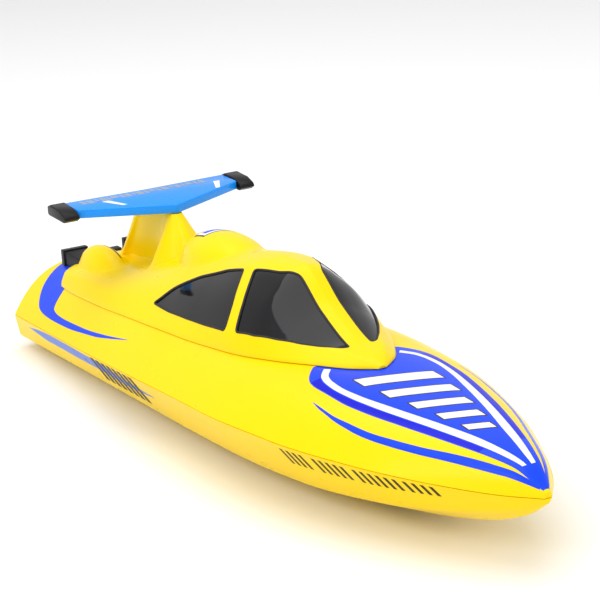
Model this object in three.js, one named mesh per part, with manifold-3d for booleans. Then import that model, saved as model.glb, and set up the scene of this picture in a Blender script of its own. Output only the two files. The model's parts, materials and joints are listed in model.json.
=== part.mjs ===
// A radio-controlled racing boat, 340 mm from transom to bow, as an assembly of separate solids.
// Millimetres. While it is built, X runs from the transom to the bow, Y to port and Z up from the
// keel's flat; the exported group is then moved so that its origin is under the middle of the whole boat.
import * as THREE from "three";
import { mergeVertices } from "three/addons/utils/BufferGeometryUtils.js";
import Module from "manifold-3d";

const wasm = await Module();
wasm.setup();

// ---------------------------------------------------------------- driving dimensions
const HULL_LENGTH = 340;
const WALL = 2; // moulded shells
const JOINT_GAP = 0.3; // between mouldings that touch
const CROWN_POWER = 3.4; // how square the deck's cross-section is
const KEEL_PAD = 9; // half-width of the keel's flat
const HATCH_DECK_Z = 39.5; // the flat deck under the canopy
const COAMING = { x0: 98, x1: 196, halfWidth: 19, height: 1.6, wall: 2 };
const LID = { bottom: 42.7, top: 44.3, overhang: 3 };
const CANOPY = { rear: 22, tip: 244.5, wall: 1.8, skirtZ: 30 };
const CANOPY_LIP = { x0: 18, x1: 26, half: 4.5, bottom: 40.2, top: 41.2 };
const DOME = { x: 130, z: 62, length: 28, half: 14.5, height: 12 };
const HUMP = { x: 42, y: 15.5, z: 40.5, length: 20, half: 8.4, height: 11.8, rearCut: 27 };
const EXHAUST = { rear: 8, half: 5.4, bottom: 38, top: 44, wall: 1.2, collar: 3.2, depth: 3.8, inHump: 6 };
const WING = { bottom: 74.1, thickness: 3.9, tip: 38.6, tipRear: 57, tipFront: 70.4, rear: 58, front: 88.6 };
const WING_PITCH = THREE.MathUtils.degToRad(2.2);
const CAP = { half: 45.9, inner: 38.9, rear: 55.4, front: 74, bottom: 73.6, top: 78.7 };
const PYLON = { bottom: 40, rearBottom: 32, frontBottom: 116, rearTop: 54.5, frontTop: 88, top: 73.8 };
const SHAFT = { propX: -9, propZ: 12.4, tilt: THREE.MathUtils.degToRad(4), radius: 1.5, tubeRadius: 2.6 };
const MOTOR = { front: 88, radius: 12.2, length: 31, shaft: 1, boss: 3.4, screwY: 8 };
const JACKET = { rear: 7, length: 18, wall: 2.8, nipple: 1.4, nippleY: -18.4, nippleRise: 4 };
const MOUNT = { half: 16, floor: 5.2, footTop: 7, footRear: 12 };
const PROP = { radius: 11, hub: 3.2, hubLength: 8, blades: 3, pitch: 38 };
const RUDDER = { x: -22, top: 23.6, bottom: 1.8, front: 4, rear: 11, post: 1.5, arm: 11 };
const BRACKET = { lower: 24, upper: 28, plate: 1.5, half: 4, back: 2 };
const ROD_Z = 32.8;
const BOOT_RADIUS = 2.4;
const INLET = { y: -12, z: 9, radius: 1.5 };
const OUTLET = { y: -26, z: 27, radius: 1.6 };
const HOSE_RADIUS = 1.5;
const WATER_CONTACT = { x: 62, y: 5, head: 1.8, shank: 0.9 };
const SCREW = { bracket: 1.1, motor: 1.2, wing: 1.2 };
const SERVO = { x0: 30, x1: 52.8, y: 22, half: 6.1, bottom: 8.4, top: 28.3, axisX: 46 };
const TRAY = { x0: 127, x1: 200, half: 23, bottom: 6.8, top: 8.4, lip: 11.4 };
const BATTERY = { x0: 130, x1: 190, y: -9, half: 10.5, bottom: 8.8, top: 27 };
const RECEIVER = { x0: 136, x1: 186, y: 14, half: 8, bottom: 8.7, top: 19 };
const LATCH = { x: 15.3, length: 9.4, width: 4.6, bottom: 41.5, thickness: 1.4, post: 2.2, pivot: 1.5 };
const BUTTON = { width: 5.2, thickness: 1.7, short: 2.4, long: 9, post: 2.2, pivot: 1.2 };
const LID_BUTTONS = [COAMING.x0 - 9, COAMING.x1 + 7]; // on the deck, just outside the lid's ends
const WING_SCREWS = [62, 78];
const SIDES = [
  ["starboard", -1],
  ["port", 1],
];

// ---------------------------------------------------------------- curves
// A smooth curve through (xs, ys) that never overshoots its points.
function faired(xs, ys) {
  const n = xs.length;
  const slope = xs.slice(1).map((x, i) => (ys[i + 1] - ys[i]) / (x - xs[i]));
  const tangent = ys.map((_, i) => {
    if (i === 0) return slope[0];
    if (i === n - 1) return slope[n - 2];
    const [a, b] = [slope[i - 1], slope[i]];
    return a * b <= 0 ? 0 : (2 * a * b) / (a + b);
  });
  return (x) => {
    let i = 0;
    while (i < n - 2 && x > xs[i + 1]) i++;
    const h = xs[i + 1] - xs[i];
    const t = THREE.MathUtils.clamp((x - xs[i]) / h, 0, 1);
    const [t2, t3] = [t * t, t * t * t];
    return (
      (2 * t3 - 3 * t2 + 1) * ys[i] +
      (t3 - 2 * t2 + t) * h * tangent[i] +
      (3 * t2 - 2 * t3) * ys[i + 1] +
      (t3 - t2) * h * tangent[i + 1]
    );
  };
}

// The hull's table of offsets: one row for each station from the transom to the bow.
const HULL_LINES = [
  // x, half-beam, sheer height, chine half-breadth, chine height, keel height, deck height on the centreline
  [0, 44.0, 16.0, 42.0, 5.0, 0.0, 38.0],
  [50, 47.0, 19.5, 41.2, 6.0, 0.0, 41.5],
  [100, 49.5, 23.0, 40.5, 7.0, 0.0, 44.5],
  [150, 51.3, 26.5, 40.0, 8.0, 0.0, 46.5],
  [200, 51.5, 28.8, 38.0, 8.6, 0.0, 47.5],
  [240, 47.5, 29.8, 33.5, 9.6, 1.2, 47.0],
  [280, 36.0, 29.6, 24.5, 13.0, 5.5, 44.8],
  [310, 22.0, 29.2, 14.5, 18.0, 12.0, 42.0],
  [328, 11.5, 29.2, 7.5, 23.0, 19.0, 38.5],
  [340, 1.6, 29.3, 1.0, 28.4, 27.4, 31.5],
];
// A table's columns as curves of its first column.
const curvesOf = (table) =>
  table[0].slice(1).map((_, i) => faired(table.map((row) => row[0]), table.map((row) => row[i + 1])));
const [halfBeam, sheerZ, chineHalf, chineZ, keelZ, crownZ] = curvesOf(HULL_LINES);

// The canopy's table: half-width at the deck, at the window sill and at the roof's edge, with their heights.
const CANOPY_LINES = [
  // x, half-width at the deck, sill's half-width, its height, roof edge's half-width, its height, roof height
  [22, 27.0, 24.5, 39.5, 14.0, 42.2, 43.0],
  [30, 32.0, 29.5, 40.5, 16.0, 43.6, 44.6],
  [60, 34.2, 31.0, 42.5, 16.0, 46.6, 48.0],
  [90, 35.0, 30.5, 44.2, 15.0, 52.6, 55.0],
  [118, 35.0, 30.0, 45.8, 14.0, 60.6, 63.6],
  [150, 34.4, 31.0, 47.8, 13.0, 68.0, 71.0],
  [178, 32.3, 30.6, 50.3, 12.4, 72.0, 75.0],
  [192, 30.4, 28.4, 51.4, 11.0, 71.0, 75.2],
  [211, 25.0, 20.8, 52.3, 8.6, 60.4, 62.4],
  [229, 16.0, 9.8, 52.2, 4.2, 52.9, 53.1],
  [238, 10.0, 5.6, 50.4, 2.6, 50.8, 50.9],
  [244.5, 2.0, 1.0, 48.0, 0.5, 48.1, 48.2],
];
const [canopyHalf, sillHalf, sillZ, roofHalf, roofEdgeZ, roofZ] = curvesOf(CANOPY_LINES);

const deckZ = (x, y, grow = 0) => {
  const across = Math.min(1, Math.abs(y) / (halfBeam(x) + grow));
  return sheerZ(x) + (crownZ(x) + grow - sheerZ(x)) * (1 - across ** CROWN_POWER);
};
const range = (n) => Array.from({ length: n }, (_, i) => i);
const V2 = (x, y) => new THREE.Vector2(x, y);
const V3 = (x, y, z) => new THREE.Vector3(x, y, z);

// ---------------------------------------------------------------- solids
const merged = (geometry) => {
  const plain = new THREE.BufferGeometry().setAttribute("position", geometry.getAttribute("position"));
  if (geometry.index) plain.setIndex(geometry.index);
  return mergeVertices(plain, 1e-4);
};
const toSolid = (geometry) => {
  const g = merged(geometry);
  return new wasm.Manifold(
    new wasm.Mesh({
      numProp: 3,
      vertProperties: new Float32Array(g.getAttribute("position").array),
      triVerts: new Uint32Array(g.index.array),
    }),
  );
};
const toGeometry = (solid) => {
  const mesh = solid.getMesh();
  return new THREE.BufferGeometry()
    .setAttribute("position", new THREE.BufferAttribute(mesh.vertProperties, 3))
    .setIndex(new THREE.BufferAttribute(mesh.triVerts, 1));
};
const join = (first, ...others) =>
  toGeometry(others.reduce((all, g) => all.add(toSolid(g)), toSolid(first)));
const cut = (first, ...others) =>
  toGeometry(others.reduce((all, g) => all.subtract(toSolid(g)), toSolid(first)));
const common = (a, b) => toGeometry(toSolid(a).intersect(toSolid(b)));

const block = (x0, x1, y0, y1, z0, z1) =>
  new THREE.BoxGeometry(x1 - x0, y1 - y0, z1 - z0).translate((x0 + x1) / 2, (y0 + y1) / 2, (z0 + z1) / 2);
// The same, given from its middle in y.
const bench = (x0, x1, y, half, z0, z1) => block(x0, x1, y - half, y + half, z0, z1);

// A round bar from one point to another, or a cone when the second radius differs.
function bar(from, to, radius, endRadius = radius, sides = 20) {
  const along = to.clone().sub(from);
  const turn = new THREE.Quaternion().setFromUnitVectors(V3(0, 1, 0), along.clone().normalize());
  return new THREE.CylinderGeometry(endRadius, radius, along.length(), sides)
    .applyQuaternion(turn)
    .translate(...from.clone().add(to).multiplyScalar(0.5).toArray());
}
const post = (x, y, z0, z1, radius, sides = 20) => bar(V3(x, y, z0), V3(x, y, z1), radius, radius, sides);

const egg = (x, y, z, rx, ry, rz, across = 20, down = 12) =>
  new THREE.SphereGeometry(1, across, down).rotateZ(Math.PI / 2).scale(rx, ry, rz).translate(x, y, z);

// A prism on an outline in the XY plane.
const extruded = (outline, depth) =>
  new THREE.ExtrudeGeometry(new THREE.Shape(outline), { depth, bevelEnabled: false });
const prism = (outline, z0, z1) => extruded(outline, z1 - z0).translate(0, 0, z0);

// A plate in the XZ plane, from y0 to y1.
const sidePlate = (outline, y0, y1) =>
  extruded(outline, y1 - y0)
    .rotateX(Math.PI / 2)
    .translate(0, y1, 0);

// A wire or hose along a smooth curve through the points. It is solid: its bore is not modelled.
function wire(radius, steps, ...points) {
  const sides = 8;
  const corner = (i) => V2(radius, 0).rotateAround(V2(0, 0), (2 * Math.PI * i) / sides);
  const path = new THREE.CatmullRomCurve3(points.map((p) => V3(...p)), false, "centripetal");
  return new THREE.ExtrudeGeometry(new THREE.Shape(range(sides).map(corner)), {
    steps,
    bevelEnabled: false,
    extrudePath: path,
  });
}

// A closed skin through rings of points that all have the same count, with a flat lid on each end.
function loft(rings) {
  const count = rings[0].length;
  const positions = rings.flat().flatMap((p) => p.toArray());
  const faces = [];
  for (let i = 0; i + 1 < rings.length; i++)
    for (let j = 0; j < count; j++) {
      const [a, b] = [i * count + j, i * count + ((j + 1) % count)];
      faces.push(a, b, a + count, b, b + count, a + count);
    }
  // Each lid is a fan about the middle of its ring.
  for (const [ring, first, flip] of [
    [rings[0], 0, true],
    [rings.at(-1), (rings.length - 1) * count, false],
  ]) {
    const middle = ring.reduce((sum, p) => sum.add(p), V3(0, 0, 0)).multiplyScalar(1 / count);
    const hub = positions.push(...middle.toArray()) / 3 - 1;
    for (let j = 0; j < count; j++) {
      const [a, b] = [first + j, first + ((j + 1) % count)];
      faces.push(hub, ...(flip ? [b, a] : [a, b]));
    }
  }
  const made = new THREE.BufferGeometry()
    .setAttribute("position", new THREE.Float32BufferAttribute(positions, 3))
    .setIndex(faces);
  if (toSolid(made).volume() > 0) return made;
  for (let i = 0; i < faces.length; i += 3) [faces[i + 1], faces[i + 2]] = [faces[i + 2], faces[i + 1]];
  return made.setIndex(faces);
}
const stations = (from, to, count, crowd = 1) =>
  range(count).map((i) => to - (to - from) * (1 - i / (count - 1)) ** crowd);
// A ring from the half-section of one side, given from the top centre or bottom outwards.
const mirroredRing = (x, half) => [
  ...half.map(([y, z]) => V3(x, y, z)),
  ...half.toReversed().filter(([y]) => y !== 0).map(([y, z]) => V3(x, -y, z)),
];

// ---------------------------------------------------------------- hull and deck forms
function hullForm(inset, from, to, topRise) {
  const count = inset ? 15 : 22;
  return loft(
    stations(from, to, count, 1.5).map((x) => {
      const pad = Math.min(KEEL_PAD, chineHalf(x) * 0.3);
      return mirroredRing(x, [
        [0, keelZ(x) + inset],
        [pad, keelZ(x) + inset],
        [chineHalf(x) - inset * 0.8, chineZ(x) + inset],
        [halfBeam(x) - inset, sheerZ(x) - JOINT_GAP / 2 + (inset ? 0 : topRise)],
        ...(inset ? [[halfBeam(x) - inset, sheerZ(x) + topRise]] : []),
      ]);
    }),
  );
}
const ACROSS = [0.4, 0.66, 0.82, 0.92, 0.975, 1];
function deckForm(inset, from, to, foot) {
  return loft(
    stations(from, to, inset ? 16 : 23, 1.5).map((x) =>
      mirroredRing(x, [
        [0, deckZ(x, 0, -inset)],
        ...ACROSS.map((u) => [
          u * (halfBeam(x) - inset),
          Math.max(deckZ(x, u * (halfBeam(x) - inset), -inset), sheerZ(x) + JOINT_GAP / 2),
        ]),
        ...(foot ? [[halfBeam(x) - inset, sheerZ(x) - foot]] : []),
      ]),
    ),
  );
}
// The canopy's outline on the deck, drawn in by a margin.
function footprint(margin) {
  const xs = stations(CANOPY.rear + margin, CANOPY.tip - margin * 1.2, 14, 1.4);
  const edge = xs.map((x) => V2(x, Math.max(0.6, canopyHalf(x) - margin)));
  return [...edge, ...edge.toReversed().map((p) => V2(p.x, -p.y))];
}

function canopyForm(inset, from = CANOPY.rear + inset, to = CANOPY.tip - inset * 1.3) {
  return loft(
    stations(from, to, inset > 1 ? 17 : 23, 1.3).map((x) => {
      const [k, s, r] = [canopyHalf, sillHalf, roofHalf].map((f) => Math.max(f(x) - inset, 0.4));
      const [zs, zr, zt] = [sillZ, roofEdgeZ, roofZ].map((f) => f(x) - inset);
      const bulge = Math.min(1.6, (zr - zs) * 0.09);
      return mirroredRing(x, [
        [0, zt],
        [r * 0.55, zt - (zt - zr) * 0.3],
        [r, zr],
        [(r + s) / 2 + bulge, (zr + zs) / 2 + bulge * 0.7],
        [s, zs],
        [k, Math.min(zs - 1, deckZ(x, k) + 1)],
        [k, CANOPY.skirtZ],
      ]);
    }),
  );
}
function hump(side, inset = 0) {
  const [length, half, height] = [HUMP.length, HUMP.half, HUMP.height].map((d) => d - inset);
  const whole = egg(HUMP.x, side * HUMP.y, HUMP.z, length, half, height, 14, 9);
  return cut(whole, block(0, HUMP.rearCut + inset, -60, 60, 0, 80));
}
function dome(inset = 0) {
  const [length, half, height] = [DOME.length, DOME.half, DOME.height].map((d) => d - inset);
  return inset > 0
    ? egg(DOME.x, 0, DOME.z, length, half, height, 16, 9)
    : egg(DOME.x, 0, DOME.z, length, half, height, 22, 13);
}

// ---------------------------------------------------------------- materials
const finish = (color, roughness, metalness = 0) =>
  new THREE.MeshStandardMaterial({ color, roughness, metalness });
const YELLOW = finish(0xffe000, 0.28);
const BLUE = finish(0x1478f0, 0.32);
const BLACK = finish(0x101012, 0.4);
const SMOKED = finish(0x15161a, 0.08);
const STEEL = finish(0xb8bcc2, 0.3, 1);
const BRASS = finish(0xb5893c, 0.35, 1);
const ALUMINIUM = finish(0x9aa0a8, 0.4, 1);
const RUBBER = finish(0x1c1c1e, 0.8);
const RED = finish(0xc01818, 0.45);
const WHITE = finish(0xe8e8e4, 0.45);
const CLEAR_HOSE = finish(0xd8dde2, 0.3);
const CASE_BLUE = finish(0x1d3c8c, 0.4);

const boat = new THREE.Group();
function piece(name, geometry, material) {
  const g = merged(geometry);
  g.computeVertexNormals();
  const mesh = new THREE.Mesh(g, material);
  mesh.name = name;
  boat.add(mesh);
}

// ---------------------------------------------------------------- shells
// A hole through the transom for something round that passes it at (y, z).
const transomHole = (y, z, radius, sides = 20) =>
  bar(V3(-5, y, z), V3(8, y, z), radius + JOINT_GAP, radius + JOINT_GAP, sides);
const TRANSOM_TOP = [1, 0.98, 0.94, 0.87, 0.76, 0.6, 0.35];

function transom() {
  const across = [...TRANSOM_TOP, 0, ...TRANSOM_TOP.toReversed().map((u) => -u)];
  const top = across.map((u) => {
    const y = u * (halfBeam(0) - JOINT_GAP);
    return V3(0, y, Math.max(deckZ(0, y) - JOINT_GAP, sheerZ(0) - 1));
  });
  const foot = [-1, 1].map((side) => V3(0, side * (halfBeam(0) - 3), sheerZ(0) - 4));
  const outline = [...top, ...foot];
  return loft([outline, outline.map((p) => p.clone().setX(WALL))]);
}
function hullShell() {
  const tub = cut(hullForm(0, 0, HULL_LENGTH, 0), hullForm(WALL, WALL, 326, 9));
  return cut(
    join(tub, transom()),
    bar(shaftPoint(-12), shaftPoint(40), SHAFT.tubeRadius + JOINT_GAP),
    transomHole(RUDDER.arm, ROD_Z, BOOT_RADIUS),
    transomHole(INLET.y, INLET.z, INLET.radius),
    transomHole(OUTLET.y, OUTLET.z, OUTLET.radius),
    ...BRACKET_SCREWS.map(([y, z]) => transomHole(y, z, SCREW.bracket, 10)),
    ...SIDES.map(([, side]) => waterContact(side, JOINT_GAP)),
  );
}
function deckShell() {
  const from = WALL + JOINT_GAP;
  const outer = cut(deckForm(0, from, HULL_LENGTH, 0), prism(footprint(2.6), HATCH_DECK_Z, 80));
  const hollow = cut(deckForm(WALL, from - 1, 333, 6), prism(footprint(0.4), HATCH_DECK_Z - WALL, 80));
  const { x0, x1, halfWidth, height, wall } = COAMING;
  const opening = bench(x0, x1, 0, halfWidth, 30, 60);
  const rim = bench(x0 - wall, x1 + wall, 0, halfWidth + wall, HATCH_DECK_Z - WALL, HATCH_DECK_Z + height);
  const shell = join(cut(outer, hollow, opening), cut(rim, opening));
  return cut(
    shell,
    post(LATCH.x, 0, 25, 60, LATCH.pivot + JOINT_GAP),
    ...LID_BUTTONS.map((x) => post(x, 0, 30, 60, BUTTON.pivot + JOINT_GAP, 16)),
  );
}
function hatchSeal() {
  const { x0, x1, halfWidth, height, wall } = COAMING;
  const [bottom, top] = [HATCH_DECK_Z + height + JOINT_GAP, LID.bottom - JOINT_GAP];
  return cut(
    bench(x0 - wall, x1 + wall, 0, halfWidth + wall, bottom, top),
    bench(x0, x1, 0, halfWidth, 30, 60),
  );
}

// ---------------------------------------------------------------- canopy and its windows
// The windows' outlines from above, for starboard; port mirrors them.
const sillY = (x, inset) => -(sillHalf(x) - inset);
const alongSill = (xs, inset) => xs.map((x) => V2(x, sillY(x, inset)));
const REAR_WINDOW = [
  ...alongSill([118], 1.2),
  ...alongSill([134, 150, 166, 181], 0.6),
  V2(178.5, -24.5),
  V2(170, -13.6),
  V2(158, -14.8),
  V2(142, -18.4),
  V2(128, -23.4),
];
const FRONT_WINDOW = [
  ...alongSill([187, 197, 207, 216, 223], 0.8),
  V2(229.5, -7.6),
  V2(230.5, -4.6),
  V2(197, -4.6),
  V2(188.5, -8.8),
  V2(176, -12.6),
  V2(183.6, -22.8),
];
function insetOutline(outline, by) {
  const centre = outline.reduce((sum, p) => sum.add(p), V2(0, 0)).multiplyScalar(1 / outline.length);
  return outline.map((p) => {
    const out = p.clone().sub(centre);
    return centre.clone().add(out.setLength(out.length() - by));
  });
}
const facing = (outline, side) =>
  side < 0 ? outline : outline.map((p) => V2(p.x, -p.y)).toReversed();
const windowHole = (outline, side) => prism(facing(outline, side), 44, 90);
const screwHole = (x) => post(x, 0, 40, WING.bottom + 2, SCREW.wing + JOINT_GAP, 12);

// The canopy's moulding with its dome and humps, drawn in by an inset.
const canopyBody = (inset) =>
  join(canopyForm(inset), dome(inset), ...SIDES.map(([, side]) => hump(side, inset)));
function canopyShell() {
  const { x0, x1, half, bottom, top } = CANOPY_LIP;
  const shell = cut(
    canopyBody(0),
    canopyBody(CANOPY.wall),
    deckForm(-0.4, 4, 338, 12),
    ...SIDES.flatMap(([, side]) => [windowHole(REAR_WINDOW, side), windowHole(FRONT_WINDOW, side)]),
    ...SIDES.map(([, side]) => exhaustBody(side, JOINT_GAP)),
    ...WING_SCREWS.map(screwHole),
  );
  return join(shell, bench(x0, x1, 0, half, bottom, top));
}
function windowPane(outline, side) {
  const skin = cut(canopyForm(0.5), canopyForm(1.6));
  return common(skin, windowHole(insetOutline(outline, JOINT_GAP), side));
}

// ---------------------------------------------------------------- the hatch under the canopy, and what turns
function innerHatch() {
  const { x0, x1, halfWidth } = COAMING;
  const { bottom, top, overhang } = LID;
  const plate = bench(x0 - overhang, x1 + overhang, 0, halfWidth + overhang, bottom, top);
  const plug = bench(x0 + 0.5, x1 - 0.5, 0, halfWidth - 0.5, bottom - 2.4, bottom + 0.2);
  return join(plate, plug);
}
// A button on its post: its long end reaches over the lid.
function hatchButton(x, towards) {
  const [from, to] = [x - towards * BUTTON.short, x + towards * BUTTON.long].sort((a, b) => a - b);
  const underside = LID.top + JOINT_GAP;
  const lever = bench(from, to, 0, BUTTON.width / 2, underside, underside + BUTTON.thickness);
  return join(
    lever,
    post(x, 0, HATCH_DECK_Z + 0.4, LID.top + 1, BUTTON.post, 16),
    post(x, 0, 34, HATCH_DECK_Z + 1, BUTTON.pivot, 16),
  );
}
function canopyLatch() {
  const { x, length, width, bottom, thickness } = LATCH;
  return join(
    bench(x - width / 2, x + width / 2, 0, length / 2, bottom, bottom + thickness),
    post(x, 0, deckZ(x, 0) + 0.4, bottom + 0.5, LATCH.post, 16),
    post(x, 0, 34, bottom + 0.5, LATCH.pivot, 16),
  );
}

// ---------------------------------------------------------------- exhausts, pylon and wing
function exhaustBody(side, grow = 0) {
  const { rear, half, bottom, top, inHump } = EXHAUST;
  const front = HUMP.rearCut + inHump;
  return bench(rear - grow, front, side * HUMP.y, half + grow, bottom - grow, top + grow);
}
function exhaust(side) {
  const y = side * HUMP.y;
  const { rear, half, bottom, top, wall, collar, depth } = EXHAUST;
  const ring = bench(rear, rear + collar, y, half + 0.8, bottom - 0.6, top + 0.8);
  const bore = bench(rear - 1, rear + depth, y, half - wall, bottom + wall, top - wall);
  return cut(join(exhaustBody(side), ring), bore, deckForm(-0.6, 1, 60, 12));
}

// The pylon's rows from its rear edge to its front: the half-width at its top and at its foot. Its sides are
// hollowed behind a rounded rear edge; its front swells out like a cone into the dome.
const PYLON_ROWS = [
  [1.2, 2.3],
  [3, 5.7],
  [3.4, 6.5],
  [2.3, 4.4],
  [2.1, 4],
  [2.1, 4.6],
  [2.3, 9],
  [2.4, 14.5],
  [2, 11.5],
  [1.2, 4],
];
const REAR_ROWS = [0, 1.6, 4, 7]; // of the first rows, how far ahead of the rear edge
const CONE = { from: 5, x: [78, 82, 87], growth: 1.55, shoulder: 0.6 };
function pylonRing(t) {
  const { lerp } = THREE.MathUtils;
  const rear = lerp(PYLON.rearBottom, PYLON.rearTop, t);
  const front = lerp(PYLON.frontBottom, PYLON.frontTop, t);
  const xs = [
    ...REAR_ROWS.map((ahead) => rear + ahead),
    lerp(rear + REAR_ROWS.at(-1), CONE.x[0], 0.5),
    ...CONE.x,
    lerp(CONE.x.at(-1), front, CONE.shoulder),
    front,
  ];
  const foot = (1 - t) ** 2;
  const cone = Math.min(1, CONE.growth * (1 - t));
  const side = PYLON_ROWS.map(([top, bottom], row) => {
    const lean = t * (PYLON.frontTop - xs[row]) * Math.tan(WING_PITCH);
    const half = lerp(top, bottom, row < CONE.from ? foot : cone);
    return V3(xs[row], half, lerp(PYLON.bottom, PYLON.top, t) + lean);
  });
  return [...side, ...side.toReversed().map((p) => V3(p.x, -p.y, p.z))];
}
function pylon() {
  const levels = 11;
  const blade = standingLoft(range(levels).map((i) => pylonRing(i / (levels - 1))));
  return cut(blade, canopyBody(-JOINT_GAP), ...WING_SCREWS.map(screwHole));
}
// A loft whose rings lie level: it is laid on its side for its lids, and stood up again.
function standingLoft(rings) {
  const laid = loft(rings.map((ring) => ring.map((p) => V3(p.z, p.y, -p.x))));
  return laid.rotateY(-Math.PI / 2);
}
// The wing leans about its leading edge, and its caps with it.
const pitched = (geometry) =>
  geometry
    .translate(-WING.front, 0, -WING.bottom)
    .rotateY(WING_PITCH)
    .translate(WING.front, 0, WING.bottom);
function wing() {
  const { tip, tipRear, tipFront, rear, front, bottom, thickness } = WING;
  const outline = [
    V2(rear, 0),
    V2(tipRear, -tip),
    V2(tipFront, -tip),
    V2(front, 0),
    V2(tipFront, tip),
    V2(tipRear, tip),
  ];
  return cut(pitched(prism(outline, bottom, bottom + thickness)), ...WING_SCREWS.map(screwHole));
}
function wingCap(side) {
  const { half, inner, rear, front, bottom, top } = CAP;
  const ends = [side * inner, side * half].sort((a, b) => a - b);
  const outline = [
    V2(rear, bottom + 0.8),
    V2(rear + 1, bottom),
    V2(front - 2.5, bottom),
    V2(front, bottom + 1.6),
    V2(front - 1.2, top - 2),
    V2(front - 6, top - 0.4),
    V2(rear + 3, top),
    V2(rear, top - 1.2),
  ];
  return pitched(sidePlate(outline, ...ends));
}
function wingScrew(x) {
  const seat = roofZ(x) - CANOPY.wall - 0.7;
  return join(
    post(x, 0, seat - 1, WING.bottom + 1.6, SCREW.wing, 12),
    post(x, 0, seat - 2.2, seat, 2.6, 14),
  );
}

// ---------------------------------------------------------------- drive line
// A point on the tilted shaft's axis, by its distance along X.
const shaftPoint = (x) => V3(x, 0, SHAFT.propZ + (x - SHAFT.propX) * Math.tan(SHAFT.tilt));
const onShaft = (from, to, radius, sides = 20) =>
  bar(shaftPoint(from), shaftPoint(to), radius, radius, sides);
const shaftBore = (from, to, sides = 16) => onShaft(from, to, SHAFT.radius + JOINT_GAP, sides);

function propeller() {
  const { radius, hub, hubLength, blades, pitch } = PROP;
  const root = hub - 1.4;
  const blade = new THREE.Shape();
  blade.moveTo(-1.6, root);
  blade.bezierCurveTo(-6, 6, -4.6, radius, 0.4, radius);
  blade.bezierCurveTo(5.4, radius, 5, 5.6, 1.6, root);
  const turned = range(blades).map((i) =>
    new THREE.ExtrudeGeometry(blade, { depth: 1, bevelEnabled: false, curveSegments: 4 })
      .translate(0, 0, -0.5)
      .rotateY(Math.PI / 2 + THREE.MathUtils.degToRad(pitch))
      .rotateX((2 * Math.PI * i) / blades)
      .rotateY(-SHAFT.tilt)
      .translate(...shaftPoint(SHAFT.propX).toArray()),
  );
  const boss = onShaft(SHAFT.propX - hubLength / 2, SHAFT.propX + hubLength / 2, hub, 18);
  return cut(join(boss, ...turned), shaftBore(-20, 2));
}
const propellerNut = () => cut(onShaft(-16.2, -13.3, 2.9, 6), shaftBore(-20, 0));
const shaftTube = () => cut(onShaft(-4, 60, SHAFT.tubeRadius, 18), shaftBore(-8, 64, 18));
const shaftCoupling = () =>
  cut(onShaft(63, 83, 4, 18), shaftBore(60, 68.4), onShaft(76, 90, MOTOR.shaft + JOINT_GAP, 16));

const MOTOR_REAR = MOTOR.front + MOTOR.length;
const motorCan = () =>
  join(
    onShaft(MOTOR.front, MOTOR_REAR, MOTOR.radius, 28),
    onShaft(MOTOR.front - 0.7, MOTOR.front + 1, MOTOR.boss),
  );
const motorEndBell = () => onShaft(MOTOR_REAR + JOINT_GAP, MOTOR_REAR + 4, MOTOR.radius - 0.8, 28);
// The jacket's two hose nipples: the point on the shaft's axis that each points away from.
const NIPPLES = [MOTOR.front + JACKET.rear + 4, MOTOR.front + JACKET.rear + JACKET.length - 4];
function coolingJacket() {
  const from = MOTOR.front + JACKET.rear;
  const to = from + JACKET.length;
  const nipples = NIPPLES.map((x) => {
    const end = shaftPoint(x).add(V3(0, JACKET.nippleY, JACKET.nippleRise));
    return bar(shaftPoint(x), end, JACKET.nipple, JACKET.nipple, 12);
  });
  const body = join(onShaft(from, to, MOTOR.radius + JACKET.wall, 28), ...nipples);
  return cut(body, onShaft(from - 2, to + 2, MOTOR.radius + JOINT_GAP, 28));
}
function motorMount() {
  const centre = shaftPoint(MOTOR.front - 2);
  const plate = bench(centre.x - 1, centre.x + 1, 0, MOUNT.half, MOUNT.floor, centre.z + 12);
  const foot = bench(centre.x - MOUNT.footRear, centre.x + 1, 0, MOUNT.half, MOUNT.floor, MOUNT.footTop);
  const screwHoles = SIDES.map(([, side]) => {
    const [from, to] = [-20, 4].map((dx) => V3(centre.x + dx, side * MOTOR.screwY, centre.z));
    return bar(from, to, SCREW.motor + 0.1 + JOINT_GAP, SCREW.motor + 0.1 + JOINT_GAP, 12);
  });
  return cut(join(plate, foot), onShaft(MOTOR.front - 12, MOTOR.front + 4, 4), ...screwHoles);
}
function motorScrew(side) {
  const centre = shaftPoint(MOTOR.front - 2);
  const at = (dx) => V3(centre.x + dx, side * MOTOR.screwY, centre.z);
  return join(
    bar(at(-1.6), at(1.5), SCREW.motor, SCREW.motor, 12),
    bar(at(-3.2), at(-1.3), 2.2, 2.2, 14),
  );
}

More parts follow.
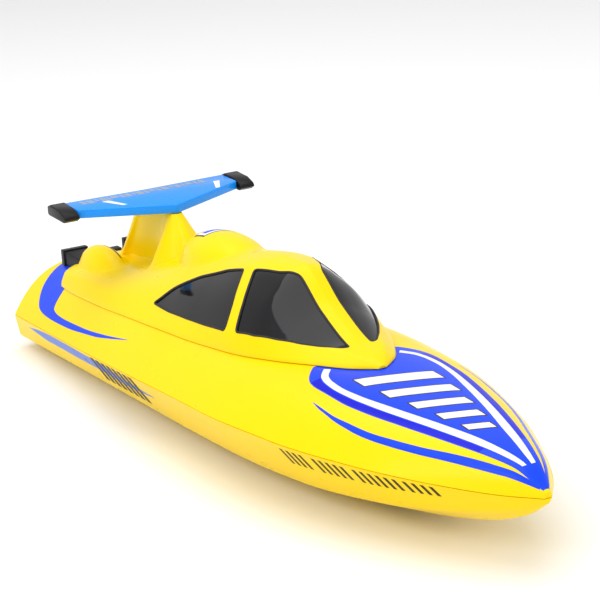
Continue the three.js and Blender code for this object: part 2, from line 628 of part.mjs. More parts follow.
// ---------------------------------------------------------------- steering
const BRACKET_SCREWS = [
  [-6.5, 20.6],
  [6.5, 20.6],
  [-6.5, 30.6],
];
const ARM = { bottom: 29.9, top: 31.7, half: 2.4, boss: 3.6 };
function rudder() {
  const { x, top, bottom, front, rear, post: radius } = RUDDER;
  const outline = [
    V2(x + front, top),
    V2(x + front - 1, bottom + 5),
    V2(x + front - 4, bottom),
    V2(x - rear + 2, bottom + 1.5),
    V2(x - rear, top - 4),
    V2(x - rear + 2, top),
  ];
  return join(sidePlate(outline, -1.2, 1.2), post(x, 0, top - 6, ARM.top - 0.1, radius, 16));
}
function rudderBracket() {
  const { lower, upper, plate, half, back } = BRACKET;
  const wallX = -JOINT_GAP;
  const shelf = (z) => bench(RUDDER.x - 4, wallX, 0, half, z, z + plate);
  const backPlate = bench(wallX - back, wallX, 0, 9, 18.4, 33);
  const web = bench(wallX - back - 6, wallX, 0, 1, lower, upper + plate);
  return cut(
    join(shelf(lower), shelf(upper), backPlate, web),
    post(RUDDER.x, 0, 20, 40, RUDDER.post + JOINT_GAP, 16),
    block(wallX - back - 1, wallX + 1, RUDDER.arm - 4, 20, 28.5, 40),
    ...BRACKET_SCREWS.map(([y, z]) => transomHole(y, z, SCREW.bracket, 10)),
  );
}
const bracketScrew = ([y, z]) =>
  join(
    bar(V3(-3, y, z), V3(4, y, z), SCREW.bracket, SCREW.bracket, 10),
    bar(V3(-4.2, y, z), V3(-2.6, y, z), 2, 2, 14),
  );

// An arm with a slot near its end for the pushrod's bent end, from its axis towards +Y or -Y.
function arm(x, y, side) {
  const between = (a, b) => [y + side * a, y + side * b].sort((p, q) => p - q);
  const { bottom, top, half, boss } = ARM;
  const lever = block(x - half, x + half, ...between(0, RUDDER.arm + 3.6), bottom, top);
  return cut(
    join(post(x, y, bottom, top, boss), lever),
    block(x - 1.2, x + 1.2, ...between(RUDDER.arm - 1.2, RUDDER.arm + 2.3), bottom - 1, top + 1),
    post(x, y, bottom - 1, top + 1, RUDDER.post + JOINT_GAP, 16),
  );
}
function pushrod() {
  const radius = 0.7;
  const ends = [RUDDER.x, SERVO.axisX];
  const [from, to] = [ends[0] - radius, ends[1] + radius].map((x) => V3(x, RUDDER.arm, ROD_Z));
  const pins = ends.map((x) => post(x, RUDDER.arm, 30.4, ROD_Z, radius, 10));
  return join(bar(from, to, radius, radius, 10), ...pins);
}
// The pleated boot that keeps water out where the pushrod passes the transom: radius and place along X.
const BOOT_PROFILE = [
  [1.2, -8],
  [2.2, -8],
  [2.2, -6.6],
  [3, -6],
  [2.2, -5.2],
  [3.2, -4.4],
  [2.3, -3.6],
  [3.6, -2.6],
  [3.6, -0.4],
  [BOOT_RADIUS, -0.4],
  [BOOT_RADIUS, 3.2],
  [1.2, 3.2],
];
function rodBoot() {
  const profile = [...BOOT_PROFILE, BOOT_PROFILE[0]].map(([radius, x]) => V2(radius, x));
  return new THREE.LatheGeometry(profile, 14).rotateZ(-Math.PI / 2).translate(0, RUDDER.arm, ROD_Z);
}
function servo() {
  const { x0, x1, y, half, bottom, top, axisX } = SERVO;
  return join(
    bench(x0, x1, y, half, bottom, top - 2.5),
    bench(x0 - 4.6, x1 + 4.6, y, half, 21, 23),
    post(axisX, y, top - 3, top, 5.6),
  );
}
const servoSpline = () =>
  post(SERVO.axisX, SERVO.y, SERVO.top + JOINT_GAP, ARM.top - 0.1, RUDDER.post, 16);
function servoMount() {
  const { x0, x1, y, half } = SERVO;
  const rails = [x0 - 2.6, x1 + 2.6].map((x) => bench(x - 2, x + 2, y, half, 6.4, 20.7));
  return join(bench(x0 - 4.6, x1 + 4.6, y, half, 6.4, 8), ...rails);
}

// ---------------------------------------------------------------- electrics
const battery = () => bench(BATTERY.x0, BATTERY.x1, BATTERY.y, BATTERY.half, BATTERY.bottom, BATTERY.top);
// The plate the electrics stand on, with a rim round the battery and two runners under it.
function equipmentTray() {
  const { x0, x1, half, bottom, top, lip } = TRAY;
  const aroundBattery = (grow, z0, z1) =>
    bench(BATTERY.x0 - grow, BATTERY.x1 + grow, BATTERY.y, BATTERY.half + grow, z0, z1);
  const rim = cut(aroundBattery(2, bottom, lip), aroundBattery(0.4, 0, 20));
  const runners = [-7, 7].map((y) => bench(x0 + 3, x1 - 3, y, 1, 2.4, bottom + 0.2));
  return join(bench(x0, x1, 0, half, bottom, top), rim, ...runners);
}
function batteryStrap() {
  const { x0, x1, y, half, bottom, top } = BATTERY;
  const middle = (x0 + x1) / 2;
  const [inside, outside] = [JOINT_GAP, JOINT_GAP + 1.2];
  return cut(
    bench(middle - 7, middle + 7, y, half + outside, TRAY.lip + JOINT_GAP, top + outside),
    bench(middle - 8, middle + 8, y, half + inside, bottom, top + inside),
  );
}
function receiver() {
  const { x0, x1, y, half, bottom, top } = RECEIVER;
  const sockets = [12, 22, 32].map((dx) =>
    block(x0 + dx, x0 + dx + 6, y - half - 1, y - half + 3, bottom + 5, top - 3),
  );
  return cut(bench(x0, x1, y, half, bottom, top), ...sockets);
}
// A round-headed stud through the keel's flat: two of them feel that the boat is in the water.
function waterContact(side, grow = 0) {
  const { x, head, shank } = WATER_CONTACT;
  const y = side * WATER_CONTACT.y;
  return join(
    post(x, y, 0.2 - grow * 2, 1.3 + grow, head + grow, 14),
    post(x, y, 1, 5.6 + grow, shank + grow, 12),
  );
}
// A pipe through the transom with a flange outside it.
const transomPipe = ({ y, z, radius }, from, to) =>
  join(
    bar(V3(from, y, z), V3(to, y, z), radius, radius, 14),
    bar(V3(-2.2, y, z), V3(-JOINT_GAP, y, z), 3, 3, 14),
  );
// Where a hose meets a nipple of the cooling jacket.
const hoseEnd = (x) =>
  shaftPoint(x)
    .add(V3(0, JACKET.nippleY - 0.6, JACKET.nippleRise))
    .toArray();

// ---------------------------------------------------------------- the assembly
piece("hull_shell", hullShell(), YELLOW);
piece("deck_shell", deckShell(), YELLOW);
piece("hatch_seal", hatchSeal(), RUBBER);
piece("inner_hatch", innerHatch(), WHITE);
LID_BUTTONS.forEach((x, i) => piece(`hatch_button_${i + 1}`, hatchButton(x, i === 0 ? 1 : -1), BLACK));

piece("canopy", canopyShell(), YELLOW);
for (const [word, side] of SIDES) {
  piece(`window_rear_${word}`, windowPane(REAR_WINDOW, side), SMOKED);
  piece(`window_front_${word}`, windowPane(FRONT_WINDOW, side), SMOKED);
  piece(`exhaust_${word}`, exhaust(side), BLACK);
  piece(`wing_cap_${word}`, wingCap(side), BLACK);
}
piece("wing_pylon", pylon(), YELLOW);
piece("wing", wing(), BLUE);
WING_SCREWS.forEach((x, i) => piece(`wing_screw_${i + 1}`, wingScrew(x), STEEL));
piece("canopy_latch", canopyLatch(), BLACK);

piece("motor_can", motorCan(), STEEL);
piece("motor_end_bell", motorEndBell(), WHITE);
piece("cooling_jacket", coolingJacket(), ALUMINIUM);
piece("motor_mount", motorMount(), ALUMINIUM);
for (const [word, side] of SIDES) piece(`motor_screw_${word}`, motorScrew(side), STEEL);
piece("shaft_tube", shaftTube(), BRASS);
piece("drive_shaft", onShaft(-16.6, 68, SHAFT.radius, 16), STEEL);
piece("shaft_coupling", shaftCoupling(), BRASS);
piece("motor_shaft", onShaft(77, MOTOR.front - 0.8 - JOINT_GAP, MOTOR.shaft, 16), STEEL);
piece("propeller", propeller(), BLACK);
piece("propeller_nut", propellerNut(), BRASS);

piece("rudder", rudder(), BLACK);
piece("rudder_arm", arm(RUDDER.x, 0, 1), ALUMINIUM);
piece("rudder_bracket", rudderBracket(), BLACK);
BRACKET_SCREWS.forEach((place, i) => piece(`bracket_screw_${i + 1}`, bracketScrew(place), STEEL));
piece("steering_pushrod", pushrod(), STEEL);
piece("pushrod_boot", rodBoot(), RUBBER);
piece("servo", servo(), CASE_BLUE);
piece("servo_horn", arm(SERVO.axisX, SERVO.y, -1), WHITE);
piece("servo_spline", servoSpline(), WHITE);
piece("servo_mount", servoMount(), BLACK);

piece("battery_pack", battery(), BLUE);
piece("equipment_tray", equipmentTray(), BLACK);
piece("battery_strap", batteryStrap(), RUBBER);
piece("receiver_speed_controller", receiver(), BLACK);
for (const [word, side] of SIDES) piece(`water_contact_${word}`, waterContact(side), STEEL);
piece("water_inlet", transomPipe(INLET, -9, 6), BRASS);
piece("water_outlet", transomPipe(OUTLET, -7, 7), BRASS);

// ---------------------------------------------------------------- leads and hoses, by the points on their routes
const bell = shaftPoint(MOTOR_REAR + 5);
for (const [word, side] of SIDES) {
  const y = 13 + side * 2.5;
  const route = [
    [bell.x - 0.6, side * 6, bell.z],
    [bell.x + 2.5, side * 6 + 1, bell.z],
    [bell.x + 4, y - 2, 17.5],
    [RECEIVER.x0 - 5, y, 14.5],
    [RECEIVER.x0 - 0.4, y, 14],
  ];
  piece(`motor_lead_${word}`, wire(0.9, 20, ...route), side > 0 ? BLACK : RED);
}
const SERVO_LEAD = [
  [SERVO.x1 + 5, 22, 25.5],
  [62, 22.5, 24.5],
  [68, 24, 16],
  [95, 25.5, 10.5],
  [118, 25.5, 12],
  [127, 21, 14.5],
  [131, 19.5, 15],
  [RECEIVER.x0 - 0.4, 19.5, 15],
];
const BATTERY_LEAD = [
  [BATTERY.x1 + 0.4, -12, 20],
  [194, -12, 20],
  [200, -8, 19],
  [203, 4, 17],
  [200, 13, 14.4],
  [RECEIVER.x1 + 7.2, 14, 14],
];
const INLET_HOSE = [
  [6.4, INLET.y, INLET.z],
  [12, INLET.y, INLET.z],
  [30, -14, 9.5],
  [60, -22, 11],
  [84, -27, 15],
  [96, -27, 21],
  [99, -24, 23.2],
  hoseEnd(NIPPLES[0]),
];
const OUTLET_HOSE = [
  [7.4, OUTLET.y, OUTLET.z],
  [14, OUTLET.y, OUTLET.z],
  [40, -28, 28],
  [70, -30, 28.5],
  [92, -31, 28.5],
  [104, -30, 27],
  [110, -26, 25],
  hoseEnd(NIPPLES[1]),
];
piece("servo_lead", wire(0.8, 30, ...SERVO_LEAD), BLACK);
piece("battery_lead", wire(1.4, 24, ...BATTERY_LEAD), RED);
piece("battery_plug", bench(RECEIVER.x1 + JOINT_GAP, RECEIVER.x1 + 6.7, 14, 3.5, 10.5, 17.5), WHITE);
piece("inlet_hose", wire(HOSE_RADIUS, 30, ...INLET_HOSE), CLEAR_HOSE);
piece("outlet_hose", wire(HOSE_RADIUS, 30, ...OUTLET_HOSE), CLEAR_HOSE);

// The group's origin is under the middle of the boat's box.
const box = new THREE.Box3().setFromObject(boat);
boat.position.set(-(box.min.x + box.max.x) / 2, 0, -box.min.z);
export default boat;
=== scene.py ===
"""The looks of a radio-controlled racing boat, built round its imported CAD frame.

Lengths in this script are millimetres from the transom (x), the centreline (y) and the keel's flat (z),
as in the CAD source; row_frame() turns them into the frame's metres.
"""
import json
import math

import bmesh
import bpy
import numpy as np
from mathutils import Matrix, Vector

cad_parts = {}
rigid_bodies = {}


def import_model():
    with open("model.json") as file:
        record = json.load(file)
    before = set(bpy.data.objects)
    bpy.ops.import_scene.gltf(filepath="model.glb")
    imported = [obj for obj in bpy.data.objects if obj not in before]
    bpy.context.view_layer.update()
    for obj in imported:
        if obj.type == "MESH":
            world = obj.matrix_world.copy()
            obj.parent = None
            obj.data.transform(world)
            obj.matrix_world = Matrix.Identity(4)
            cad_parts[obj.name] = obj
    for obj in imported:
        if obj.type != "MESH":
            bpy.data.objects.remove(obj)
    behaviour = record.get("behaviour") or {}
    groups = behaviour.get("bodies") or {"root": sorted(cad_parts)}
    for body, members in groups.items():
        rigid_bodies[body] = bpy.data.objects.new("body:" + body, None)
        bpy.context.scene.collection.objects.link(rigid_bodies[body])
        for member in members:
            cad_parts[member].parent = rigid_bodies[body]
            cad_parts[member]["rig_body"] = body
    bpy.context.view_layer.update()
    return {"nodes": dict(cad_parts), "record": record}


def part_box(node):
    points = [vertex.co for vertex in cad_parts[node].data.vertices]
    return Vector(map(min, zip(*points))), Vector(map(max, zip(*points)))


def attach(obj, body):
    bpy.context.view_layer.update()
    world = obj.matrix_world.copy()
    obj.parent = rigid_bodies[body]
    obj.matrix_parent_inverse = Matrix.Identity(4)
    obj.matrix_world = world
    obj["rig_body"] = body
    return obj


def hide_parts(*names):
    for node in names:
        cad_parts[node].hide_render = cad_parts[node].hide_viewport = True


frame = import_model()

MM = 0.001
TRANSOM_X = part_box("hull_shell")[0].x / MM

WALL = 2.0
GAP = 0.3
HULL_LENGTH = 340.0
CROWN_POWER = 3.4
KEEL_PAD = 9.0
HATCH_DECK_Z = 39.5
COAMING = dict(x0=98, x1=196, half=19, height=1.6, wall=2)
CANOPY = dict(rear=22, tip=244.5, wall=1.8, skirt=30)
CANOPY_LIP = (18, 26, -4.5, 4.5, 40.2, 41.2)  # what the latch holds down: a block from x to x, y to y, z to z
DOME = dict(x=130, y=0, z=62, length=28, half=14.5, height=12)
HUMPS = [dict(x=42, y=side * 15.5, z=40.5, length=20, half=8.4, height=11.8) for side in (-1, 1)]
HUMP_REAR = 27
EXHAUST = dict(rear=8, half=5.4, bottom=38, top=44)
WING = dict(bottom=74.1, thickness=3.9, tip=38.6, tip_rear=57, tip_front=70.4, rear=58, front=88.6)
WING_PITCH = math.radians(2.2)
PYLON = dict(bottom=40, rear_bottom=32, front_bottom=116, rear_top=54.5, front_top=88, top=73.8)
# The pylon's rows from its rear edge to its front: the half-width at its top and at its foot.
PYLON_ROWS = [
    (1.2, 2.3), (3, 5.7), (3.4, 6.5), (2.3, 4.4), (2.1, 4),
    (2.1, 4.6), (2.3, 9), (2.4, 14.5), (2, 11.5), (1.2, 4),
]
REAR_ROWS = (0, 1.6, 4, 7)  # how far ahead of its rear edge its first rows lie
CONE = dict(first=5, x=(78, 82, 87), growth=1.55, shoulder=0.6)
SHAFT = dict(prop_x=-9, prop_z=12.4, tilt=math.radians(4), radius=1.5, tube=2.6)
PROP = dict(radius=10.9, hub=3.2, hub_length=8, blades=3, pitch=37.8)
BLADE = dict(half_chord=4.6, sweep=0.9, half_thick=0.75, tip_half_thick=0.28)
RUDDER_ARM, ROD_Z = 11, 32.8
LATCH_X, BUTTON_XS, WING_SCREW_XS = 15.3, (89, 203), (62, 78)
LATCH_PIVOT, BUTTON_PIVOT, WING_SCREW = 1.5, 1.2, 1.2
# What passes the transom beside the shaft: place (y, z) and radius.
TRANSOM_HOLES = [(RUDDER_ARM, ROD_Z, 2.4), (-12, 9, 1.5), (-26, 27, 1.6)]
TRANSOM_HOLES += [(y, z, 1.1) for y, z in ((-6.5, 20.6), (6.5, 20.6), (-6.5, 30.6))]
WATER_CONTACT = dict(x=62, y=5, head=1.8, shank=0.9)
SIDES = {"starboard": -1, "port": 1}
PANE = dict(outside=0.35, inside=1.6, margin=0.04)
SEAL = dict(margin=0.16, depth=0.36, radius=0.48)
# How far prints stand off the surface: the lowest, and what is printed over it.
FILM_BACK = 0.012
LOW, ABOVE_LOW, HIGH = 0.05, 0.075, 0.1
SIDE_MARK = 0.09
OVER_MARK, TOP_MARK = 0.08, 0.11


# ---------------------------------------------------------------- camera, floor and light
def camera():
    """The photograph's view: from off the starboard bow, a little above the deck."""
    back = Vector((0.82633852, -0.47928189, 0.29572542))
    up = Vector((-0.22987334, 0.19232358, 0.95402824))
    right = up.cross(back)
    data = bpy.data.cameras.new("camera")
    data.sensor_width = 36
    data.lens = 111.55
    data.clip_end = 20
    made = bpy.data.objects.new("camera", data)
    bpy.context.scene.collection.objects.link(made)
    place = Vector((0.62405, -0.34212, 0.27036))
    made.matrix_world = Matrix([[right[i], up[i], back[i], place[i]] for i in range(3)] + [[0, 0, 0, 1]])
    bpy.context.scene.camera = made


def softbox(name, place, target, width, height, power):
    data = bpy.data.lights.new(name, "AREA")
    data.shape = "RECTANGLE"
    data.size = width
    data.size_y = height
    data.energy = power
    made = bpy.data.objects.new(name, data)
    made.location = place
    made.rotation_euler = (Vector(target) - Vector(place)).to_track_quat("-Z", "Y").to_euler()
    bpy.context.scene.collection.objects.link(made)


def studio():
    softbox("top_light", (-0.1, -0.1, 1.2), (0, 0, 0), 1.4, 1.2, 9)
    softbox("key_light", (0.3, -1.1, 0.9), (0, 0, 0.03), 0.9, 0.5, 5)
    softbox("bow_light", (1.3, 0.5, 0.6), (0.05, 0, 0.03), 0.7, 0.5, 3)
    world = bpy.data.worlds.new("studio")
    world.use_nodes = True
    background = world.node_tree.nodes["Background"]
    background.inputs["Color"].default_value = (1, 1, 1, 1)
    background.inputs["Strength"].default_value = 0.75
    bpy.context.scene.world = world
    bpy.context.scene.view_settings.view_transform = "Standard"


# ---------------------------------------------------------------- curves
def faired(xs, ys):
    """A smooth curve through the points that never overshoots them."""
    xs, ys = np.asarray(xs, float), np.asarray(ys, float)
    slope = np.diff(ys) / np.diff(xs)
    tangent = np.zeros(len(xs))
    tangent[0], tangent[-1] = slope[0], slope[-1]
    product = slope[:-1] * slope[1:]
    total = slope[:-1] + slope[1:]
    inner = product > 0
    tangent[1:-1][inner] = 2 * product[inner] / total[inner]

    def curve(x):
        x = np.asarray(x, float)
        i = np.clip(np.searchsorted(xs, x, side="left") - 1, 0, len(xs) - 2)
        h = xs[i + 1] - xs[i]
        t = np.clip((x - xs[i]) / h, 0, 1)
        return (
            (2 * t**3 - 3 * t**2 + 1) * ys[i] + (t**3 - 2 * t**2 + t) * h * tangent[i]
            + (3 * t**2 - 2 * t**3) * ys[i + 1] + (t**3 - t**2) * h * tangent[i + 1]
        )

    return curve


HULL_LINES = np.array([
    # x, half-beam, sheer height, chine half-breadth, chine height, keel height, deck height on the centreline
    [0, 44.0, 16.0, 42.0, 5.0, 0.0, 38.0],
    [50, 47.0, 19.5, 41.2, 6.0, 0.0, 41.5],
    [100, 49.5, 23.0, 40.5, 7.0, 0.0, 44.5],
    [150, 51.3, 26.5, 40.0, 8.0, 0.0, 46.5],
    [200, 51.5, 28.8, 38.0, 8.6, 0.0, 47.5],
    [240, 47.5, 29.8, 33.5, 9.6, 1.2, 47.0],
    [280, 36.0, 29.6, 24.5, 13.0, 5.5, 44.8],
    [310, 22.0, 29.2, 14.5, 18.0, 12.0, 42.0],
    [328, 11.5, 29.2, 7.5, 23.0, 19.0, 38.5],
    [340, 1.6, 29.3, 1.0, 28.4, 27.4, 31.5],
])
half_beam, sheer_z, chine_half, chine_z, keel_z, crown_z = [
    faired(HULL_LINES[:, 0], column) for column in HULL_LINES.T[1:]
]

CANOPY_LINES = np.array([
    # x, half-width at the deck, sill's half-width and height, roof edge's half-width and height, roof height
    [22, 27.0, 24.5, 39.5, 14.0, 42.2, 43.0],
    [30, 32.0, 29.5, 40.5, 16.0, 43.6, 44.6],
    [60, 34.2, 31.0, 42.5, 16.0, 46.6, 48.0],
    [90, 35.0, 30.5, 44.2, 15.0, 52.6, 55.0],
    [118, 35.0, 30.0, 45.8, 14.0, 60.6, 63.6],
    [150, 34.4, 31.0, 47.8, 13.0, 68.0, 71.0],
    [178, 32.3, 30.6, 50.3, 12.4, 72.0, 75.0],
    [192, 30.4, 28.4, 51.4, 11.0, 71.0, 75.2],
    [211, 25.0, 20.8, 52.3, 8.6, 60.4, 62.4],
    [229, 16.0, 9.8, 52.2, 4.2, 52.9, 53.1],
    [238, 10.0, 5.6, 50.4, 2.6, 50.8, 50.9],
    [244.5, 2.0, 1.0, 48.0, 0.5, 48.1, 48.2],
])
canopy_half, sill_half, sill_z, roof_half, roof_edge_z, roof_z = [
    faired(CANOPY_LINES[:, 0], column) for column in CANOPY_LINES.T[1:]
]


def deck_z(x, y, grow=0.0):
    across = np.clip(np.abs(y) / (half_beam(x) + grow), 0, 1)
    return sheer_z(x) + (crown_z(x) + grow - sheer_z(x)) * (1 - across**CROWN_POWER)


def mix(a, b, t):
    return a + (b - a) * t


def rounded(points, radii, arc=5):
    """An open polyline whose inner corners are rounded; each rounded corner becomes arc + 1 points."""
    points = [np.asarray(p, float) for p in points]
    out = [points[0]]
    for before, corner, after, radius in zip(points, points[1:], points[2:], radii):
        a, b = before - corner, after - corner
        la, lb = np.linalg.norm(a), np.linalg.norm(b)
        if la < 1e-6 or lb < 1e-6:
            out += [corner] * (arc + 1)
            continue
        reach = min(radius, la * 0.45, lb * 0.45)
        start, end = corner + a / la * reach, corner + b / lb * reach
        for t in np.linspace(0, 1, arc + 1):
            out.append((1 - t) ** 2 * start + 2 * t * (1 - t) * corner + t**2 * end)
    return out + [points[-1]]


def spaced(points, counts):
    """The polyline with each of its stretches divided as many times as counts says."""
    out = []
    for a, b, n in zip(points, points[1:], counts):
        out += [mix(a, b, t) for t in np.linspace(0, 1, n, endpoint=False)]
    return out + [points[-1]]


def refined(points, step):
    """A closed outline with points no further apart than step."""
    out = []
    for a, b in zip(points, [*points[1:], points[0]]):
        n = max(1, math.ceil(np.linalg.norm(b - a) / step))
        out += [mix(a, b, t) for t in np.linspace(0, 1, n, endpoint=False)]
    return out


# ---------------------------------------------------------------- meshes
def row_frame(points):
    return (np.asarray(points, float).reshape(-1, 3) + (TRANSOM_X, 0, 0)) * MM


def solid(name, points, faces):
    """A mesh object from points in millimetres, with its faces turned outwards."""
    mesh = bpy.data.meshes.new(name)
    mesh.from_pydata(row_frame(points).tolist(), [], [list(map(int, f)) for f in faces])
    bm = bmesh.new()
    bm.from_mesh(mesh)
    bmesh.ops.remove_doubles(bm, verts=bm.verts, dist=1e-7)
    bmesh.ops.recalc_face_normals(bm, faces=bm.faces)
    bm.to_mesh(mesh)
    bm.free()
    made = bpy.data.objects.new(name, mesh)
    bpy.context.scene.collection.objects.link(made)
    return made


def grid_faces(rows, columns, closed):
    """Quads over rows of points; closed joins each row's last point to its first."""
    out = []
    for i in range(rows - 1):
        for j in range(columns if closed else columns - 1):
            k = (j + 1) % columns
            a, b = i * columns, (i + 1) * columns
            out.append((a + j, a + k, b + k, b + j))
    return out


def loft(name, rings):
    """A closed skin through rings that all have the same number of points, with a lid on each end."""
    rings = np.asarray(rings, float)
    rows, columns = rings.shape[:2]
    last = (rows - 1) * columns
    lids = [list(range(columns))[::-1], [last + j for j in range(columns)]]
    return solid(name, rings, grid_faces(rows, columns, True) + lids)


def mirrored_ring(x, half):
    """A ring at one station from its starboard-to-centre half, given from the centreline outwards on +Y."""
    half = np.asarray(half, float)
    other = half[::-1][np.abs(half[::-1, 0]) > 1e-9]
    both = np.vstack([half, other * (-1, 1)])
    return np.column_stack([np.full(len(both), x), both])


def block(name, x0, x1, y0, y1, z0, z1):
    corners = [(x, y, z) for x in (x0, x1) for y in (y0, y1) for z in (z0, z1)]
    faces = [(0, 1, 3, 2), (4, 6, 7, 5), (0, 4, 5, 1), (2, 3, 7, 6), (0, 2, 6, 4), (1, 5, 7, 3)]
    return solid(name, corners, faces)


def prism(name, outline, z0, z1):
    """An upright prism on an outline of (x, y) points."""
    n = len(outline)
    points = [(x, y, z) for z in (z0, z1) for x, y in outline]
    sides = [(i, (i + 1) % n, n + (i + 1) % n, n + i) for i in range(n)]
    return solid(name, points, sides + [range(n), range(n, 2 * n)])


def bar(name, start, end, radius, sides=32):
    """A round bar from one point to another."""
    start, end = np.array(start, float), np.array(end, float)
    along = Vector(end - start).normalized()
    turn = np.array(along.to_track_quat("Z", "Y").to_matrix())
    angles = np.arange(sides) * 2 * math.pi / sides
    circle = np.column_stack([np.cos(angles), np.sin(angles), np.zeros(sides)]) @ turn.T
    return loft(name, [start + circle * radius, end + circle * radius])


def post(name, x, y, z0, z1, radius):
    return bar(name, (x, y, z0), (x, y, z1), radius)


def applied(made):
    """The object with its modifiers applied to its mesh."""
    graph = bpy.context.evaluated_depsgraph_get()
    mesh = bpy.data.meshes.new_from_object(made.evaluated_get(graph))
    made.modifiers.clear()
    made.data = mesh
    return made


def discard(made):
    bpy.data.objects.remove(made)


def boolean(made, others, operation="DIFFERENCE"):
    """Cuts, joins or intersects with other closed meshes, which are used up."""
    for other in others:
        modifier = made.modifiers.new("boolean", "BOOLEAN")
        modifier.operation = operation
        modifier.solver = "MANIFOLD"
        modifier.object = other
    applied(made)
    for other in others:
        discard(other)
    return made


def duplicate(made, name):
    copy = bpy.data.objects.new(name, made.data.copy())
    bpy.context.scene.collection.objects.link(copy)
    return copy


def smoothed(made, sharp_above=32):
    """Smooth shading, with sharp edges only where faces meet at a steeper angle."""
    made.data.shade_smooth()
    made.data.set_sharp_from_angle(angle=math.radians(sharp_above))
    return made


def bevelled(made, width, segments=2, above=35):
    modifier = made.modifiers.new("bevel", "BEVEL")
    modifier.width = width * MM
    modifier.segments = segments
    modifier.limit_method = "ANGLE"
    modifier.angle_limit = math.radians(above)
    modifier.use_clamp_overlap = True
    return applied(made)


# ---------------------------------------------------------------- materials
def nodes_for(name):
    material = bpy.data.materials.new(name)
    material.use_nodes = True
    tree = material.node_tree
    tree.nodes.clear()
    output = tree.nodes.new("ShaderNodeOutputMaterial")
    shader = tree.nodes.new("ShaderNodeBsdfPrincipled")
    tree.links.new(shader.outputs["BSDF"], output.inputs["Surface"])
    return material, tree, shader


def noise(tree, scale, detail=3, stretch=None):
    """A noise over the object, in features per metre; stretch scales its axes."""
    place = tree.nodes.new("ShaderNodeTexCoord")
    made = tree.nodes.new("ShaderNodeTexNoise")
    made.inputs["Scale"].default_value = scale
    made.inputs["Detail"].default_value = detail
    if stretch:
        mapping = tree.nodes.new("ShaderNodeMapping")
        mapping.inputs["Scale"].default_value = stretch
        tree.links.new(place.outputs["Object"], mapping.inputs["Vector"])
        tree.links.new(mapping.outputs["Vector"], made.inputs["Vector"])
    else:
        tree.links.new(place.outputs["Object"], made.inputs["Vector"])
    return made.outputs["Fac"]


def spread(tree, value, low, high, from_low=0.3, from_high=0.7):
    """value remapped to lie between low and high."""
    made = tree.nodes.new("ShaderNodeMapRange")
    for socket, number in zip(("From Min", "From Max", "To Min", "To Max"), (from_low, from_high, low, high)):
        made.inputs[socket].default_value = number
    tree.links.new(value, made.inputs["Value"])
    return made.outputs["Result"]


def two_tone(tree, factor, first, second):
    """A mix of two colours, each of them numbers or another node's output."""
    made = tree.nodes.new("ShaderNodeMix")
    made.data_type = "RGBA"
    tree.links.new(factor, made.inputs["Factor"])
    for name, colour in (("A", first), ("B", second)):
        socket = next(s for s in made.inputs if s.name == name and s.type == "RGBA")
        if isinstance(colour, tuple):
            socket.default_value = (*colour, 1)
        else:
            tree.links.new(colour, socket)
    return next(s for s in made.outputs if s.type == "RGBA")


def bump(tree, shader, height, distance):
    made = tree.nodes.new("ShaderNodeBump")
    made.inputs["Strength"].default_value = 1
    made.inputs["Distance"].default_value = distance
    tree.links.new(height, made.inputs["Height"])
    tree.links.new(made.outputs["Normal"], shader.inputs["Normal"])


def painted_edge_highlight(tree, base, highlight_colour, low=0.515, high=0.58, amount=0.5):
    """The base colour, lightened towards a second colour where the surface turns sharply outwards: a painted
    highlight along sharp edges.
    """
    geometry = tree.nodes.new("ShaderNodeNewGeometry")
    edge = spread(tree, geometry.outputs["Pointiness"], 0, amount, low, high)
    return two_tone(tree, edge, base, highlight_colour)


def plastic(name, colour, roughness, tone=0.94, grain=0.02, coat=0.0, edge=None, specular=0.25):
    """Moulded plastic: a little uneven in colour and gloss, with the mould's fine texture."""
    material, tree, shader = nodes_for(name)
    darker = tuple(c * tone for c in colour)
    clouds = noise(tree, 22, 4)
    base = two_tone(tree, spread(tree, clouds, 0, 1), darker, colour)
    # Sharp outward edges get a lighter colour painted on as a highlight.
    if edge:
        base = painted_edge_highlight(tree, base, edge)
    tree.links.new(base, shader.inputs["Base Color"])
    handling = noise(tree, 90, 3)
    tree.links.new(spread(tree, handling, roughness * 0.88, roughness * 1.15), shader.inputs["Roughness"])
    shader.inputs["Specular IOR Level"].default_value = specular
    shader.inputs["Coat Weight"].default_value = coat
    shader.inputs["Coat Roughness"].default_value = 0.08
    bump(tree, shader, noise(tree, 1400, 1), grain * MM)
    return material


def metal(name, colour, roughness, stretch=(40, 900, 900)):
    """Turned or drawn metal: fine lines along its length and a dull bloom."""
    material, tree, shader = nodes_for(name)
    shader.inputs["Metallic"].default_value = 1
    lines = noise(tree, 6, 5, stretch)
    dull = noise(tree, 160, 4)
    darker = tuple(c * 0.78 for c in colour)
    tree.links.new(two_tone(tree, spread(tree, dull, 0, 1), darker, colour), shader.inputs["Base Color"])
    tree.links.new(spread(tree, lines, roughness * 0.7, roughness * 1.4), shader.inputs["Roughness"])
    bump(tree, shader, lines, 0.01 * MM)
    return material


def rubber(name, colour, roughness=0.7):
    material, tree, shader = nodes_for(name)
    dust = noise(tree, 300, 6)
    pale = tuple(min(1, c * 1.5 + 0.01) for c in colour)
    base = two_tone(tree, spread(tree, dust, 0, 1, 0.45, 0.8), colour, pale)
    tree.links.new(base, shader.inputs["Base Color"])
    tree.links.new(spread(tree, dust, roughness * 0.9, min(1, roughness * 1.2)), shader.inputs["Roughness"])
    bump(tree, shader, noise(tree, 1800, 3), 0.03 * MM)
    return material


